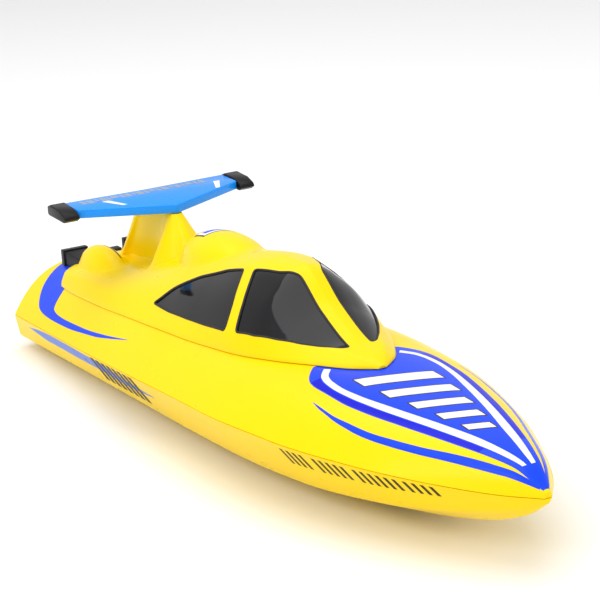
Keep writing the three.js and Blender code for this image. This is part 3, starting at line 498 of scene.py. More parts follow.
def smoked_window():
    """Dark tinted plastic, glossy like glass, with faint moulding flow in its reflections."""
    material, tree, shader = nodes_for("smoked_window")
    flow = noise(tree, 30, 3)
    base = two_tone(tree, spread(tree, flow, 0, 1), (0.003, 0.003, 0.004), (0.009, 0.009, 0.011))
    tree.links.new(base, shader.inputs["Base Color"])
    tree.links.new(spread(tree, noise(tree, 90, 3), 0.05, 0.1), shader.inputs["Roughness"])
    shader.inputs["Specular IOR Level"].default_value = 0.25
    shader.inputs["Coat Weight"].default_value = 0.2
    shader.inputs["Coat Roughness"].default_value = 0.04
    bump(tree, shader, noise(tree, 25, 2), 0.1 * MM)
    return material


YELLOW = (0.95, 0.66, 0.0)
BLUE = (0.005, 0.27, 0.95)
BLACK = (0.004, 0.004, 0.005)
MATTE = (0.009, 0.009, 0.01)
# Lighter colours painted along the black parts' sharp edges, as highlights.
BLACK_EDGE_HIGHLIGHT = (0.02, 0.02, 0.022)
MATTE_EDGE_HIGHLIGHT = (0.05, 0.05, 0.055)
FINE = 0.004  # the grain of a polished mould, in millimetres
MATERIALS = {
    "yellow_plastic": plastic("yellow_plastic", YELLOW, 0.3, 0.975, FINE, coat=0.06, specular=0.12),
    "blue_plastic": plastic("blue_plastic", BLUE, 0.28, 0.95, FINE, coat=0.15),
    "black_plastic": plastic("black_plastic", BLACK, 0.3, grain=FINE, edge=BLACK_EDGE_HIGHLIGHT, specular=0.14),
    "black_matte": plastic("black_matte", MATTE, 0.5, edge=MATTE_EDGE_HIGHLIGHT, specular=0.15),
    "smoked_window": smoked_window(),
    "white_plastic": plastic("white_plastic", (0.78, 0.78, 0.75), 0.42, tone=0.93, grain=0.01),
    "servo_case": plastic("servo_case", (0.02, 0.05, 0.26), 0.36, tone=0.85, grain=0.02),
    "rubber": rubber("rubber", (0.014, 0.014, 0.015)),
    "hose": rubber("hose", (0.55, 0.6, 0.62), 0.3),
    "wire_red": rubber("wire_red", (0.5, 0.012, 0.01), 0.42),
    "wire_black": rubber("wire_black", (0.015, 0.015, 0.016), 0.42),
    "steel": metal("steel", (0.56, 0.57, 0.6), 0.28),
    "brass": metal("brass", (0.72, 0.5, 0.2), 0.3),
    "aluminium": metal("aluminium", (0.68, 0.7, 0.72), 0.36),
    "cell_wrap": plastic("cell_wrap", (0.015, 0.1, 0.42), 0.22, tone=0.85, grain=0.02, coat=0.6),
}


def ink(name, colour, roughness=0.3, tone=0.85, coat=0.06, specular=0.15):
    return plastic("print_" + name, colour, roughness, tone, FINE, coat=coat, specular=specular)


PRINT_BLUE = ink("blue", (0.004, 0.06, 0.84))
PRINT_DEEP = ink("deep_blue", (0.0, 0.002, 0.62))
PRINT_PALE = ink("pale_blue", (0.07, 0.2, 0.78), tone=0.88)
PRINT_WHITE = ink("white", (0.86, 0.84, 0.8), 0.34, 0.96, coat=0.0, specular=0.2)
PRINT_DARK = ink("dark", (0.05, 0.03, 0.012), 0.4, 0.8, coat=0.0)
PRINT_GREY = ink("grey", (0.3, 0.36, 0.45), 0.36, coat=0.0, specular=0.2)
SLOT_OF = {row["node"]: row["material_slot"] for row in frame["record"]["subparts"]}


def dressed(made, material, body, slot, *stands_for, smooth=32):
    """Gives the piece its material and shading, attaches it to the body it rides on and hides the CAD parts
    it stands for.
    """
    made.data.materials.clear()
    made.data.materials.append(material)
    smoothed(made, smooth)
    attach(made, body)
    if stands_for:
        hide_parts(*stands_for)
    return made


def for_node(made, node, smooth=32):
    """The piece stands for one CAD node: it takes that node's body and finish."""
    slot = SLOT_OF[node]
    body = frame["nodes"][node]["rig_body"]
    return dressed(made, MATERIALS[slot], body, slot, node, smooth=smooth)


# ---------------------------------------------------------------- hull and deck
def along(start, end, count, crowd=1.6):
    """Stations that crowd towards the end."""
    t = np.linspace(0, 1, count)
    return end - (end - start) * (1 - t) ** crowd


def hull_form(name, inset, start, end, rise):
    rings = []
    for x in along(start, end, 90 if inset else 170):
        keel, pad = keel_z(x) + inset, min(KEEL_PAD, chine_half(x) * 0.3)
        top = sheer_z(x) - GAP / 2
        half = [(0, keel), (pad, keel), (chine_half(x) - inset * 0.8, chine_z(x) + inset)]
        if inset:
            half += [(half_beam(x) - inset, top), (half_beam(x) - inset, top + rise)]
            half = rounded(half, (3, 1.2, 1.0), 3)
            counts = [1] * (len(half) - 1)
        else:
            half += [(half_beam(x), top), (half_beam(x) - 1.0, top)]
            half = rounded(half, (3, 1.6, 0.45), 4)
            counts = [2, 1, 1, 1, 1, 8, 1, 1, 1, 1, 8, 1, 1, 1, 1, 1]
        rings.append(mirrored_ring(x, spaced(half, counts)))
    return loft(name, rings)


def deck_form(name, inset, start, end, foot, count=170, across=44):
    steps = np.sin(np.linspace(0, math.pi / 2, across)) ** 0.9
    rings = []
    for x in along(start, end, count):
        y = steps * (half_beam(x) - inset)
        floor = sheer_z(x) + GAP / 2
        half = list(zip(y, np.maximum(deck_z(x, y, -inset), floor)))
        if foot:
            half.append((y[-1], sheer_z(x) - foot))
        rings.append(mirrored_ring(x, half))
    return loft(name, rings)


def footprint(margin, count=60):
    """The canopy's outline on the deck, drawn in by a margin."""
    xs = along(CANOPY["rear"] + margin, CANOPY["tip"] - margin * 1.2, count, 1.5)
    ys = np.maximum(0.6, canopy_half(xs) - margin)
    return [*zip(xs, ys), *zip(xs[::-1], -ys[::-1])]


def shaft_point(x):
    return np.array((x, 0, SHAFT["prop_z"] + (x - SHAFT["prop_x"]) * math.tan(SHAFT["tilt"])))


def hull_shell():
    made = hull_form("hull", inset=0, start=0, end=HULL_LENGTH, rise=0)
    boolean(made, [hull_form("hull_hollow", inset=WALL, start=WALL, end=326, rise=9)])
    ys = np.sin(np.linspace(-math.pi / 2, math.pi / 2, 61)) * (half_beam(0) - GAP)
    top = np.maximum(deck_z(0, ys) - GAP, sheer_z(0) - 1)
    foot = (half_beam(0) - 3, sheer_z(0) - 4)
    outline = [*zip(ys[::-1], top[::-1]), (-foot[0], foot[1]), foot]
    transom = loft("transom", [[(x, y, z) for y, z in outline] for x in (0, WALL)])
    boolean(made, [transom], "UNION")
    holes = [bar("hole", shaft_point(-12), shaft_point(40), SHAFT["tube"] + GAP)]
    holes += [bar("hole", (-5, y, z), (8, y, z), radius + GAP) for y, z, radius in TRANSOM_HOLES]
    contact = WATER_CONTACT
    for side in SIDES.values():
        x, y = contact["x"], side * contact["y"]
        holes.append(post("hole", x, y, -1, 1.6, contact["head"] + GAP))
        holes.append(post("hole", x, y, 1, 6, contact["shank"] + GAP))
    return for_node(boolean(made, holes), "hull_shell")


def deck_shell():
    start = WALL + GAP
    made = deck_form("deck", inset=0, start=start, end=HULL_LENGTH, foot=0)
    boolean(made, [prism("pocket", footprint(2.6), HATCH_DECK_Z, 80)])
    hollow = deck_form("deck_hollow", inset=WALL, start=start - 1, end=333, foot=6, count=90, across=26)
    boolean(hollow, [prism("pocket_floor", footprint(0.4), HATCH_DECK_Z - WALL, 80)])
    c = COAMING
    w, wall = c["half"], c["wall"]
    opening = dict(x0=c["x0"], x1=c["x1"], y0=-w, y1=w, z0=30, z1=60)
    boolean(made, [hollow, block("opening", **opening)])
    rim = block("rim", c["x0"] - wall, c["x1"] + wall, -w - wall, w + wall, HATCH_DECK_Z - WALL,
                HATCH_DECK_Z + c["height"])
    boolean(made, [boolean(rim, [block("opening", **opening)])], "UNION")
    holes = [post("hole", LATCH_X, 0, 25, 60, LATCH_PIVOT + GAP)]
    holes += [post("hole", x, 0, 30, 60, BUTTON_PIVOT + GAP) for x in BUTTON_XS]
    return for_node(boolean(made, holes), "deck_shell")


# ---------------------------------------------------------------- canopy
def egg_top(egg, x, y, inset=0.0):
    """The height of an egg-shaped bulge over (x, y), falling away steeply outside it."""
    out = ((x - egg["x"]) / (egg["length"] - inset)) ** 2 + ((y - egg["y"]) / (egg["half"] - inset)) ** 2
    top = egg["z"] + (egg["height"] - inset) * np.sqrt(np.clip(1 - out, 0, None))
    return top - 60 * np.clip(np.sqrt(out) - 1, 0, None)


def blended_top(a, b, k):
    """The greater of two heights, with a fillet of about k where they cross."""
    h = np.clip(k - np.abs(a - b), 0, None) / k
    return np.maximum(a, b) + h * h * k / 4


def pylon_rows(t):
    """One side of the pylon at a share of its height: x and half-width, from the rear to the front."""
    rear = mix(PYLON["rear_bottom"], PYLON["rear_top"], t)
    front = mix(PYLON["front_bottom"], PYLON["front_top"], t)
    xs = [rear + ahead for ahead in REAR_ROWS]
    xs += [mix(xs[-1], CONE["x"][0], 0.5), *CONE["x"], mix(CONE["x"][-1], front, CONE["shoulder"]), front]
    foot, cone = (1 - t) ** 2, min(1, CONE["growth"] * (1 - t))
    shares = [cone if row >= CONE["first"] else foot for row in range(len(PYLON_ROWS))]
    halves = [mix(top, bottom, share) for (top, bottom), share in zip(PYLON_ROWS, shares)]
    rows = range(len(xs))
    fine = np.linspace(0, len(xs) - 1, 91)
    return faired(rows, xs)(fine), faired(rows, halves)(fine)


PYLON_LEVELS = [pylon_rows(t) for t in np.linspace(0, 1, 121)]


def clear_of_pylon(x, y, z):
    """How far the point lies outside the pylon, level with it."""
    t = min(1, max(0, (z - PYLON["bottom"]) / (PYLON["top"] - PYLON["bottom"])))
    level = t * (len(PYLON_LEVELS) - 1)
    low = min(int(level), len(PYLON_LEVELS) - 2)
    xs, halves = [mix(a, b, level - low) for a, b in zip(PYLON_LEVELS[low], PYLON_LEVELS[low + 1])]
    width = np.interp(x, xs, halves)
    beyond = max(0, xs[0] - x, x - xs[-1])
    return math.hypot(beyond, max(0, y - width))


DOME_FILLET, HUMP_FILLET, PYLON_FILLET = 1.6, 2.5, 1.4
NEAR_PYLON = (28, 122, 20)  # x from, x to, and how far out across the boat its fillet can reach


def canopy_section(x, inset):
    """Half of the canopy's section at x, from the centreline outwards, with its bulges."""
    k, s, r = [max(float(f(x)) - inset, 0.4) for f in (canopy_half, sill_half, roof_half)]
    zs, zr, zt = [float(f(x)) - inset for f in (sill_z, roof_edge_z, roof_z)]
    bulge = min(1.6, (zr - zs) * 0.09)
    foot = min(zs - 1, float(deck_z(x, k)) + 1)
    corners = [
        (0, zt),
        (r * 0.55, zt - (zt - zr) * 0.3),
        (r, zr),
        ((r + s) / 2 + bulge, (zr + zs) / 2 + bulge * 0.7),
        (s, zs),
        (k, foot),
        (k, CANOPY["skirt"]),
    ]
    half = rounded(corners, (5, 2.6, 7, 1.6, 1.6), 5)
    arc = [1] * 5
    counts = [8, *arc, 10, *arc, 12, *arc, 12, *arc, 4, *arc, 2]
    half = np.array(spaced(half, counts))
    y, z = half[:-1].T
    lifted = blended_top(z, egg_top(DOME, x, y, inset), DOME_FILLET)
    if x > HUMP_REAR + inset:
        for hump in HUMPS:
            lifted = blended_top(lifted, egg_top(hump, x, y, inset), HUMP_FILLET)
    x0, x1, widest = NEAR_PYLON
    if x0 < x < x1:
        for i in np.flatnonzero(y < widest):
            short = max(0, PYLON_FILLET - clear_of_pylon(x, y[i], lifted[i]))
            lifted[i] += PYLON_FILLET - math.sqrt(PYLON_FILLET**2 - short**2)
    half[:-1, 1] = lifted
    return half


def canopy_form(name, inset, count=210):
    start, end = CANOPY["rear"] + inset, CANOPY["tip"] - inset * 1.3
    xs = along(start, end, count, 1.25)
    if inset < HUMP_REAR - CANOPY["rear"]:
        cut = HUMP_REAR + inset
        xs = np.sort(np.append(xs[np.abs(xs - cut) > 0.3], [cut, cut + 0.02]))
    return loft(name, [mirrored_ring(x, canopy_section(x, inset)) for x in xs])


def canopy_z(x, y, inset=0.0):
    """The canopy's height over (x, y), by its section."""
    half = canopy_section(float(x), inset)
    return float(np.interp(abs(y), half[:-1, 0], half[:-1, 1]))


def sill_y(x, inset):
    return -(float(sill_half(x)) - inset)


# The starboard windows' outlines from above; port mirrors them.
REAR_WINDOW = [(118, sill_y(118, 1.2)), *[(x, sill_y(x, 0.6)) for x in (134, 150, 166, 181)]]
REAR_WINDOW += [(178.5, -24.5), (170, -13.6), (158, -14.8), (142, -18.4), (128, -23.4)]
FRONT_WINDOW = [(x, sill_y(x, 0.8)) for x in (187, 197, 207, 216, 223)]
FRONT_WINDOW += [(229.5, -7.6), (230.5, -4.6), (197, -4.6), (188.5, -8.8), (176, -12.6), (183.6, -22.8)]
WINDOWS = {"window_rear": REAR_WINDOW, "window_front": FRONT_WINDOW}


def window_outline(points, side, margin=0.0):
    """A window's outline from above, with softened corners, drawn in by a margin."""
    points = [np.array(p, float) for p in points]
    closed = rounded([*points[-1:], *points, points[0]], [1.4] * len(points), 4)[1:-1]
    middle = np.mean(points, axis=0)
    out = []
    for p in refined(closed, 1.2):
        away = p - middle
        length = np.linalg.norm(away)
        out.append(middle + away * (length - margin) / length)
    return [(x, -side * y) for x, y in out][:: -side]


def window_hole(points, side, margin=0.0):
    return prism("hole", window_outline(points, side, margin), 44, 90)


def exhaust_hole(side):
    y, half = side * HUMPS[1]["y"], EXHAUST["half"] + GAP
    bottom, top = EXHAUST["bottom"] - GAP, EXHAUST["top"] + GAP
    return block("hole", EXHAUST["rear"] - GAP, HUMP_REAR + 6, y - half, y + half, bottom, top)


def wing_screw_holes():
    return [post("hole", x, 0, 40, WING["bottom"] + 2, WING_SCREW + GAP) for x in WING_SCREW_XS]


def canopy_shell(outer):
    deck = deck_form("deck_below", inset=-0.4, start=4, end=338, foot=12)
    boolean(outer, [canopy_form("canopy_hollow", CANOPY["wall"], 130), deck])
    holes = [window_hole(points, side) for points in WINDOWS.values() for side in SIDES.values()]
    holes += [exhaust_hole(side) for side in SIDES.values()]
    boolean(outer, holes + wing_screw_holes())
    boolean(outer, [block("lip", *CANOPY_LIP)], "UNION")
    return for_node(outer, "canopy", smooth=38)


def window_pane(node, points, side):
    made = canopy_form(node + "_pane", PANE["outside"])
    boolean(made, [canopy_form("pane_back", PANE["inside"], 130)])
    boolean(made, [window_hole(points, side, PANE["margin"])], "INTERSECT")
    return for_node(made, node)


def window_seal(node, points, side):
    """The thin black line of sealant round a window."""
    path = []
    for x, y in refined([np.array(p) for p in window_outline(points, side, SEAL["margin"])], 0.8):
        path.append((x, y, canopy_z(x, y) - SEAL["depth"]))
    return ring_tube(node + "_seal", path, SEAL["radius"])


def ring_tube(name, path, radius, sides=8):
    """A closed tube along a closed path."""
    path = np.array(path, float)
    ahead = np.roll(path, -1, 0) - np.roll(path, 1, 0)
    ahead /= np.linalg.norm(ahead, axis=1)[:, None]
    side = np.cross(ahead, (0, 0, 1.0))
    side /= np.linalg.norm(side, axis=1)[:, None]
    up = np.cross(side, ahead)
    rings = []
    for a in np.arange(sides) * 2 * math.pi / sides:
        rings.append(path + radius * (math.cos(a) * side + math.sin(a) * up))
    rings = np.swapaxes(np.array(rings), 0, 1)
    count = len(path) * sides
    faces = [[corner % count for corner in face] for face in grid_faces(len(path) + 1, sides, True)]
    return solid(name, rings, faces)


# ---------------------------------------------------------------- pylon and wing
def pitched(made):
    """Turns a piece about the wing's leading edge, so that its trailing edge stands higher."""
    pivot = Vector(row_frame([(WING["front"], 0, WING["bottom"])])[0])
    turn = Matrix.Rotation(WING_PITCH, 4, "Y")
    made.data.transform(Matrix.Translation(pivot) @ turn @ Matrix.Translation(-pivot))
    return made


def half_round(x, y, length, count):
    """A half-ellipse from (x, y) to (x, -y) that bulges by length, without its two end points."""
    angles = np.linspace(0, math.pi, count)[1:-1]
    return [(x + length * math.sin(a), y * math.cos(a)) for a in angles]


def pylon_form():
    rings = []
    for t in np.linspace(0, 1, 60):
        x, y = pylon_rows(t)
        nose = half_round(x[-1], y[-1], 0.5 * y[-1], 9)
        tail = half_round(x[0], -y[0], -0.4, 7)
        side = list(zip(x, y))
        outline = [*side, *nose, *[(px, -py) for px, py in side[::-1]], *tail]
        z = mix(PYLON["bottom"], PYLON["top"], t)
        lean = t * math.tan(WING_PITCH)
        rings.append([(px, py, z + lean * (PYLON["front_top"] - px)) for px, py in outline])
    return loft("pylon", rings)


def pylon(canopy_outer):
    made = boolean(pylon_form(), [duplicate(canopy_outer, "canopy_below")])
    boolean(made, wing_screw_holes())
    return for_node(made, "wing_pylon", smooth=40)


def wing():
    w = WING
    outline = [(w["rear"], 0), (w["tip_rear"], -w["tip"]), (w["tip_front"], -w["tip"]), (w["front"], 0),
               (w["tip_front"], w["tip"]), (w["tip_rear"], w["tip"])]
    made = prism("wing_blade", outline, w["bottom"], w["bottom"] + w["thickness"])
    bevelled(made, 0.55, 3, 30)
    pitched(made)
    boolean(made, wing_screw_holes())
    return for_node(made, "wing")


# ---------------------------------------------------------------- propeller
def hub_rings():
    """The propeller's hub about the X axis, with both ends rounded off."""
    hub, end = PROP["hub"], PROP["hub_length"] / 2
    profile = [(-end, hub - 0.7), (-end + 0.7, hub)]
    profile += [(end - 1.6, hub), (end - 0.5, hub - 0.45), (end, hub - 1.1)]
    angles = np.arange(48) * 2 * math.pi / 48
    return np.array([[(x, r * math.cos(a), r * math.sin(a)) for a in angles] for x, r in profile])


def blade_rings(turn):
    """A twisted blade with thin edges, from inside the hub to its round tip."""
    radii = np.linspace(PROP["hub"] - 0.9, PROP["radius"], 18)
    rows = []
    for share, r in zip(np.linspace(0, 1, len(radii)), radii):
        chord = BLADE["half_chord"] * math.sqrt(max(0.012, 1 - ((1.75 * share - 0.62) / 1.13) ** 2))
        thick = mix(BLADE["half_thick"], BLADE["tip_half_thick"], share)
        pitch = math.atan(PROP["pitch"] / (2 * math.pi * r))
        row = []
        for a in np.linspace(0, 2 * math.pi, 24, endpoint=False):
            u, v = chord * math.cos(a) + BLADE["sweep"] * share, thick * math.sin(a)
            x = u * math.sin(pitch) + v * math.cos(pitch)
            about = (u * math.cos(pitch) - v * math.sin(pitch)) / r - turn
            row.append((x, r * math.sin(about), r * math.cos(about)))
        rows.append(row)
    return np.array(rows)


def propeller():
    """A screw with twisted, thin-edged blades on a round-ended hub."""
    turns = [2 * math.pi * blade / PROP["blades"] for blade in range(PROP["blades"])]
    tilt = SHAFT["tilt"]
    placed = []
    for rows in (hub_rings(), *[blade_rings(turn) for turn in turns]):
        x, y, z = np.moveaxis(rows, -1, 0)
        tilted = (x * math.cos(tilt) - z * math.sin(tilt), y, x * math.sin(tilt) + z * math.cos(tilt))
        placed.append(loft("blade", np.stack(tilted, -1) + shaft_point(SHAFT["prop_x"])))
    made = boolean(placed[0], placed[1:], "UNION")
    boolean(made, [bar("hole", shaft_point(-20), shaft_point(2), SHAFT["radius"] + GAP)])
    made.name = "propeller_screw"
    return for_node(made, "propeller")


# ---------------------------------------------------------------- printed films
def film(name, rows, height, material, body="hull", slot="blue_plastic"):
    """A printed film: a closed sheet height mm proud of a grid of surface points."""
    rows = np.asarray(rows, float)
    n, m = rows.shape[:2]
    normal = np.cross(np.gradient(rows, axis=0), np.gradient(rows, axis=1))
    normal /= np.maximum(np.linalg.norm(normal, axis=-1, keepdims=True), 1e-9)
    outward = rows - (rows.mean((0, 1))[0], 0, 15)
    if (normal * outward).sum() < 0:
        normal = -normal
    top, base = rows + normal * height, rows + normal * FILM_BACK
    faces = grid_faces(n, m, False)
    faces += [tuple(i + n * m for i in f[::-1]) for f in faces]
    border = [i * m for i in range(n)] + [(n - 1) * m + j for j in range(1, m)]
    border += [i * m + m - 1 for i in range(n - 2, -1, -1)] + list(range(m - 2, 0, -1))
    for a, b in zip(border, border[1:] + border[:1]):
        faces.append((a, b, b + n * m, a + n * m))
    made = solid(name, np.vstack([top.reshape(-1, 3), base.reshape(-1, 3)]), faces)
    return dressed(made, material, body, slot)


def resampled(points, count):
    """A polyline of (a, b) pairs, faired and resampled evenly along its length."""
    points = np.array(points, float)
    run = np.concatenate([[0], np.cumsum(np.linalg.norm(np.diff(points, axis=0), axis=1))])
    t = np.linspace(0, run[-1], count)
    return np.column_stack([faired(run, points[:, 0])(t), faired(run, points[:, 1])(t)])


def deck_band(name, first, second, height, material, side, count=90, across=10):
    """A film on the deck between two edges given as (x, half-width) points, on one side."""
    a, b = resampled(first, count), resampled(second, count)
    rows = []
    for p, q in zip(a, b):
        line = [mix(p, q, t) for t in np.linspace(0, 1, across)]
        rows.append([(x, side * y, float(deck_z(x, y))) for x, y in line])
    return film(name, rows, height, material)


def side_point(x, s, side):
    """A point on the hull's side, s of the way from the chine up to the sheer."""
    y = mix(float(chine_half(x)), float(half_beam(x)), s)
    return (x, side * y, mix(float(chine_z(x)), float(sheer_z(x)) - GAP / 2, s))


def side_band(name, low, high, height, material, side, count=90, across=8):
    """A film on the hull's side between two edges given as (x, share of the height) points."""
    rows = []
    for p, q in zip(resampled(low, count), resampled(high, count)):
        rows.append([side_point(*mix(p, q, t), side) for t in np.linspace(0, 1, across)])
    return film(name, rows, height, material)


# Edges of the prints on the deck: place along the boat and half-width.
BOW_EDGE = [
    (226, 18), (229, 21), (233, 24.2), (236.5, 25.8), (241, 26.4), (248, 26.2), (257, 25.8), (267, 24.2),
    (285, 19.8), (301, 15), (316, 10), (329, 5.2), (336.5, 2.4), (339.2, 1.2),
]
LINE_OUTER = [
    (231, 16.6), (236.5, 21.1), (242, 22.6), (248, 23.0), (256, 22.4), (268, 20.3), (281, 17.2),
    (293, 13.9), (305, 10.4), (313, 8.0), (322, 5.2), (330, 2.7),
]
LINE_INNER = [
    (233, 14.9), (238, 18.9), (243, 20.2), (249, 20.5), (259, 19.3), (272, 16.2), (285, 12.7), (297, 9.2),
    (309, 5.6), (318, 3.4), (326, 1.6), (330, 1.0),
]
STRIPE_HIGH = [
    (247, 31.4), (258, 31.1), (268.4, 29.5), (278, 27.5), (286.3, 24.9), (297.6, 20.6), (308, 15.9),
    (318.5, 11.2), (325.2, 8.1), (331.4, 4.9), (337.2, 1.6),
]
STRIPE_LOW = [
    (247.2, 31.5), (253, 32.1), (259.5, 32.1), (270.6, 31.0), (280, 29.0), (288.2, 26.4), (298, 22.6),
    (306.6, 18.8), (320.3, 12.6), (329.7, 7.6), (338.2, 1.9),
]
STERN_IN = [
    (8, 12.5), (15, 14), (24, 19.5), (30, 25), (34, 32.7), (38.9, 40.2), (51, 42), (68, 42.8),
    (83.5, 43.2), (97.3, 43.0), (118.8, 42.0),
]
STERN_OUT = [
    (4, 20), (7.2, 26), (14, 35.2), (24.4, 41.2), (36.4, 42.9), (52, 43.9), (70.6, 44.5), (89.6, 44.4),
    (104.2, 43.5), (119, 42.1),
]
# Edges of the swoosh on the hull's side: place along the boat and share of the side's height.
SWOOSH_HIGH = [
    (17, 0.75), (33, 0.88), (48, 0.93), (72, 0.92), (85, 0.9), (100, 0.88), (118, 0.76), (135, 0.66),
    (150, 0.6),
]
SWOOSH_LOW = [
    (17, 0.74), (29, 0.65), (40, 0.57), (52, 0.58), (70, 0.56), (86, 0.57), (100, 0.56), (118, 0.5),
    (135, 0.54), (150, 0.59),
]


def lip_edge(xs):
    """Where the bow print starts: just under the canopy's lip, or at the centreline ahead of it."""
    ahead = CANOPY["tip"] - 1.5
    return [(x, float(canopy_half(x)) - 1.3 if x < ahead else 0.0) for x in xs]


def bow_print():
    for word, side in SIDES.items():
        edge, line = [faired(*zip(*table)) for table in (BOW_EDGE, LINE_OUTER)]
        rows = []
        for x, start in lip_edge(np.linspace(226.5, 339, 104)):
            ys = [side * mix(start, float(edge(x)), t) for t in np.linspace(0, 1, 16)]
            rows.append([(x, y, float(deck_z(x, y))) for y in ys])
        film(f"bow_print_{word}", rows, LOW, PRINT_BLUE)
        deep_out = [(x, y - 0.4) for x, y in BOW_EDGE if 233 < x < 320]
        deep_in = [(x, float(line(x)) + 0.5) for x, _ in deep_out]
        deck_band(f"bow_band_{word}", deep_out, deep_in, ABOVE_LOW, PRINT_DEEP, side)
        deck_band(f"bow_line_{word}", LINE_OUTER, LINE_INNER, HIGH, PRINT_WHITE, side, across=4)
        deck_band(f"bow_stripe_{word}", STRIPE_HIGH, STRIPE_LOW, LOW, PRINT_BLUE, side, across=6)
        deck_band(f"stern_stripe_{word}", STERN_IN, STERN_OUT, LOW, PRINT_BLUE, side)


# A row of slanted bars on the bow print: place, half-length and width of each.
BOW_BARS = [(255, 14.0, 7.0), (268.5, 12.2, 6.0), (281, 9.6, 5.4), (292.5, 7.0, 4.8), (303, 4.6, 4.0)]


def bow_bars():
    slant, rim = 0.32, 0.55
    layers = (
        ("bar_edge", rim, ABOVE_LOW, PRINT_DARK, "black_matte"),
        ("bar", 0, HIGH, PRINT_WHITE, "white_plastic"),
    )
    for number, (x, half, width) in enumerate(BOW_BARS, 1):
        for word, grow, height, material, slot in layers:
            rows = []
            for y in np.linspace(-half - grow, half + grow, 30):
                centre, reach = x + slant * y, width / 2 + grow
                line = np.linspace(centre - reach, centre + reach, 6)
                rows.append([(px, y, float(deck_z(px, y))) for px in line])
            film(f"bow_{word}_{number}", rows, height, material, slot=slot)


# Groups of short slanted bars on the hull's side: where each group starts, how many bars it has and their
# spacing, and every bar's width, its lowest and highest share of the side's height, and its slant.
LARGE_BAR, SMALL_BAR = (3.3, 0.27, 0.93, 6.5), (1.25, 0.57, 0.9, 2.0)
SIDE_BARS = [(97, 8, 5.6, *LARGE_BAR)]
SIDE_BARS += [(x, count, 3.05, *SMALL_BAR) for x, count in ((246.5, 4), (261.5, 5), (278.8, 6), (297.8, 4))]


def side_prints():
    for word, side in SIDES.items():
        side_band(f"side_swoosh_{word}", SWOOSH_LOW, SWOOSH_HIGH, LOW, PRINT_PALE, side)
        number = 0
        for start, count, spacing, width, low, high, slant in SIDE_BARS:
            for x in start + spacing * np.arange(count):
                number += 1
                rows = []
                for s in np.linspace(low, high, 8):
                    left = x - slant * (s - low) / (high - low) * 0.5
                    rows.append([side_point(left + width * t, s, side) for t in np.linspace(0, 1, 4)])
                film(f"side_mark_{number}_{word}", rows, SIDE_MARK, PRINT_DARK, slot="black_matte")


def flat_mark(name, corners, z, height, material, slot):
    """A flat printed mark on the wing, from the four corners of its outline."""
    a, b, c, d = [np.array(corner, float) for corner in corners]
    steps = np.linspace(0, 1, 3)
    rows = [[(*mix(mix(a, b, u), mix(d, c, u), v), z) for v in steps] for u in steps]
    pitched(film(name, rows, height, material, "canopy", slot))


# A row of dashes along the wing's rear edge: where each starts along y and how long it is.
WING_DASHES = [
    (-33.5, 2.2), (-30.6, 3.2), (-26.6, 1.6), (-24.2, 2.6), (-21.0, 1.4), (-19.0, 3.4), (-14.8, 1.8),
    (-12.4, 2.6), (-9.0, 1.4), (-7.0, 3.0), (-3.2, 1.8), (-0.6, 2.6), (2.8, 1.6), (5.2, 3.2), (9.2, 1.8),
    (11.8, 2.6), (15.2, 1.4), (17.4, 3.0), (21.2, 1.8), (23.8, 2.6),
]


def wing_prints():
    top = WING["bottom"] + WING["thickness"]
    for number, (y, length) in enumerate(WING_DASHES, 1):
        x0, x1 = (60.0, 64.6) if number % 3 else (60.0, 63.4)
        corners = [(x0, y), (x1, y + 0.5), (x1, y + length + 0.5), (x0, y + length)]
        flat_mark(f"wing_dash_{number}", corners, top, LOW, PRINT_GREY, "white_plastic")
    for word, side, inner in (("starboard", -1, -17.5), ("port", 1, 25.5)):
        outer = inner + side * 4
        corners = [(65.4, outer), (75.4, inner), (75.4, inner + side * 2.0), (65.4, outer + side * 3.2)]
        flat_mark(f"wing_slash_{word}", corners, top, OVER_MARK, PRINT_WHITE, "white_plastic")


def dome_print():
    """A small slanted mark with a dark edge on the dome's rear slope."""
    for name, x0, x1, y0, y1, height, material, slot in (
        ("dome_mark_edge", 116.4, 125.2, -6.8, 6.8, LOW, PRINT_DARK, "black_matte"),
        ("dome_mark_white", 117.2, 124.4, -6.0, 6.0, OVER_MARK, PRINT_WHITE, "white_plastic"),
        ("dome_mark_blue", 119.0, 122.4, -4.6, 4.6, TOP_MARK, PRINT_BLUE, "blue_plastic"),
    ):
        rows = []
        for y in np.linspace(y0, y1, 24):
            line = np.linspace(x0, x1, 8) + 0.22 * y
            rows.append([(x, y, canopy_z(x, y)) for x in line])
        film(name, rows, height, material, "canopy", slot)


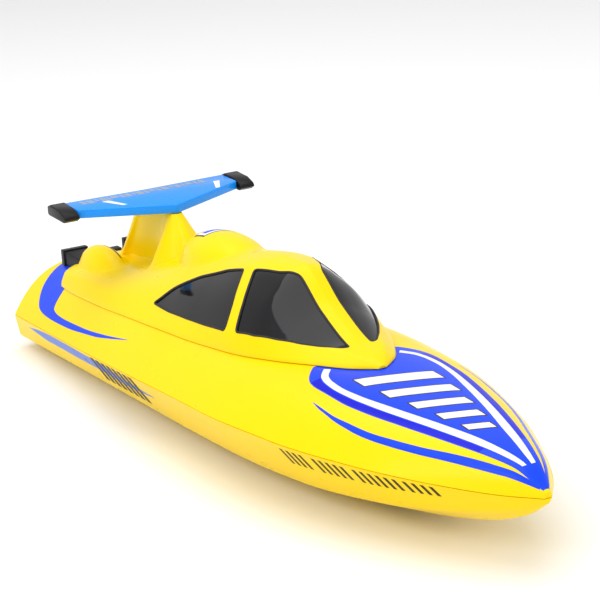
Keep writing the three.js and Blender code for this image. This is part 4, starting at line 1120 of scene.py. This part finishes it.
def hump_print():
    """A thin dark line along the top of each hump."""
    for word, side in SIDES.items():
        rows = []
        for x in np.linspace(34, 54, 26):
            y = HUMPS[1]["y"] - 2.4 - 0.05 * (x - 34)
            rows.append([(x, side * (y + dy), canopy_z(x, y + dy)) for dy in np.linspace(0, 0.9, 4)])
        film(f"hump_line_{word}", rows, LOW, PRINT_DARK, "canopy", "black_matte")


# ---------------------------------------------------------------- the other CAD parts, with softened edges
EDGE_ROUNDING = {
    "exhaust_starboard": 0.5, "exhaust_port": 0.5, "wing_cap_starboard": 0.5, "wing_cap_port": 0.5,
    "canopy_latch": 0.5, "hatch_button_1": 0.5, "hatch_button_2": 0.5, "inner_hatch": 0.5, "rudder": 0.5,
    "servo": 0.5, "battery_pack": 1.0, "receiver_speed_controller": 0.6, "battery_plug": 0.5,
}
USUAL_ROUNDING = 0.2


def softened(node):
    """A copy of a CAD part with its edges rounded off."""
    made = duplicate(frame["nodes"][node], node + "_part")
    bm = bmesh.new()
    bm.from_mesh(made.data)
    bmesh.ops.remove_doubles(bm, verts=bm.verts, dist=2e-6)
    bmesh.ops.dissolve_limit(bm, angle_limit=math.radians(1), verts=bm.verts, edges=bm.edges)
    bm.to_mesh(made.data)
    bm.free()
    bevelled(made, EDGE_ROUNDING.get(node, USUAL_ROUNDING), 3 if node in EDGE_ROUNDING else 2)
    return for_node(made, node, smooth=48)


# ---------------------------------------------------------------- making it
camera()
studio()
outer = canopy_form("canopy_moulding", 0)
pylon(outer)
canopy_shell(outer)
hull_shell()
deck_shell()
for window, points in WINDOWS.items():
    for word, side in SIDES.items():
        node = f"{window}_{word}"
        window_pane(node, points, side)
        seal = window_seal(node, points, side)
        dressed(seal, MATERIALS["rubber"], "canopy", "rubber", smooth=60)
wing()
propeller()
bow_print()
bow_bars()
side_prints()
wing_prints()
dome_print()
hump_print()
for node in sorted(frame["nodes"]):
    if not frame["nodes"][node].hide_render:
        softened(node)

floor_corners = [(-3000, -3000, 0), (3500, -3000, 0), (3500, 3000, 0), (-3000, 3000, 0)]
floor = solid("floor", floor_corners, [(0, 1, 2, 3)])
floor_material, _, floor_shader = nodes_for("pale_floor")
floor_shader.inputs["Base Color"].default_value = (0.9, 0.9, 0.9, 1)
floor_shader.inputs["Roughness"].default_value = 0.9
floor.data.materials.append(floor_material)
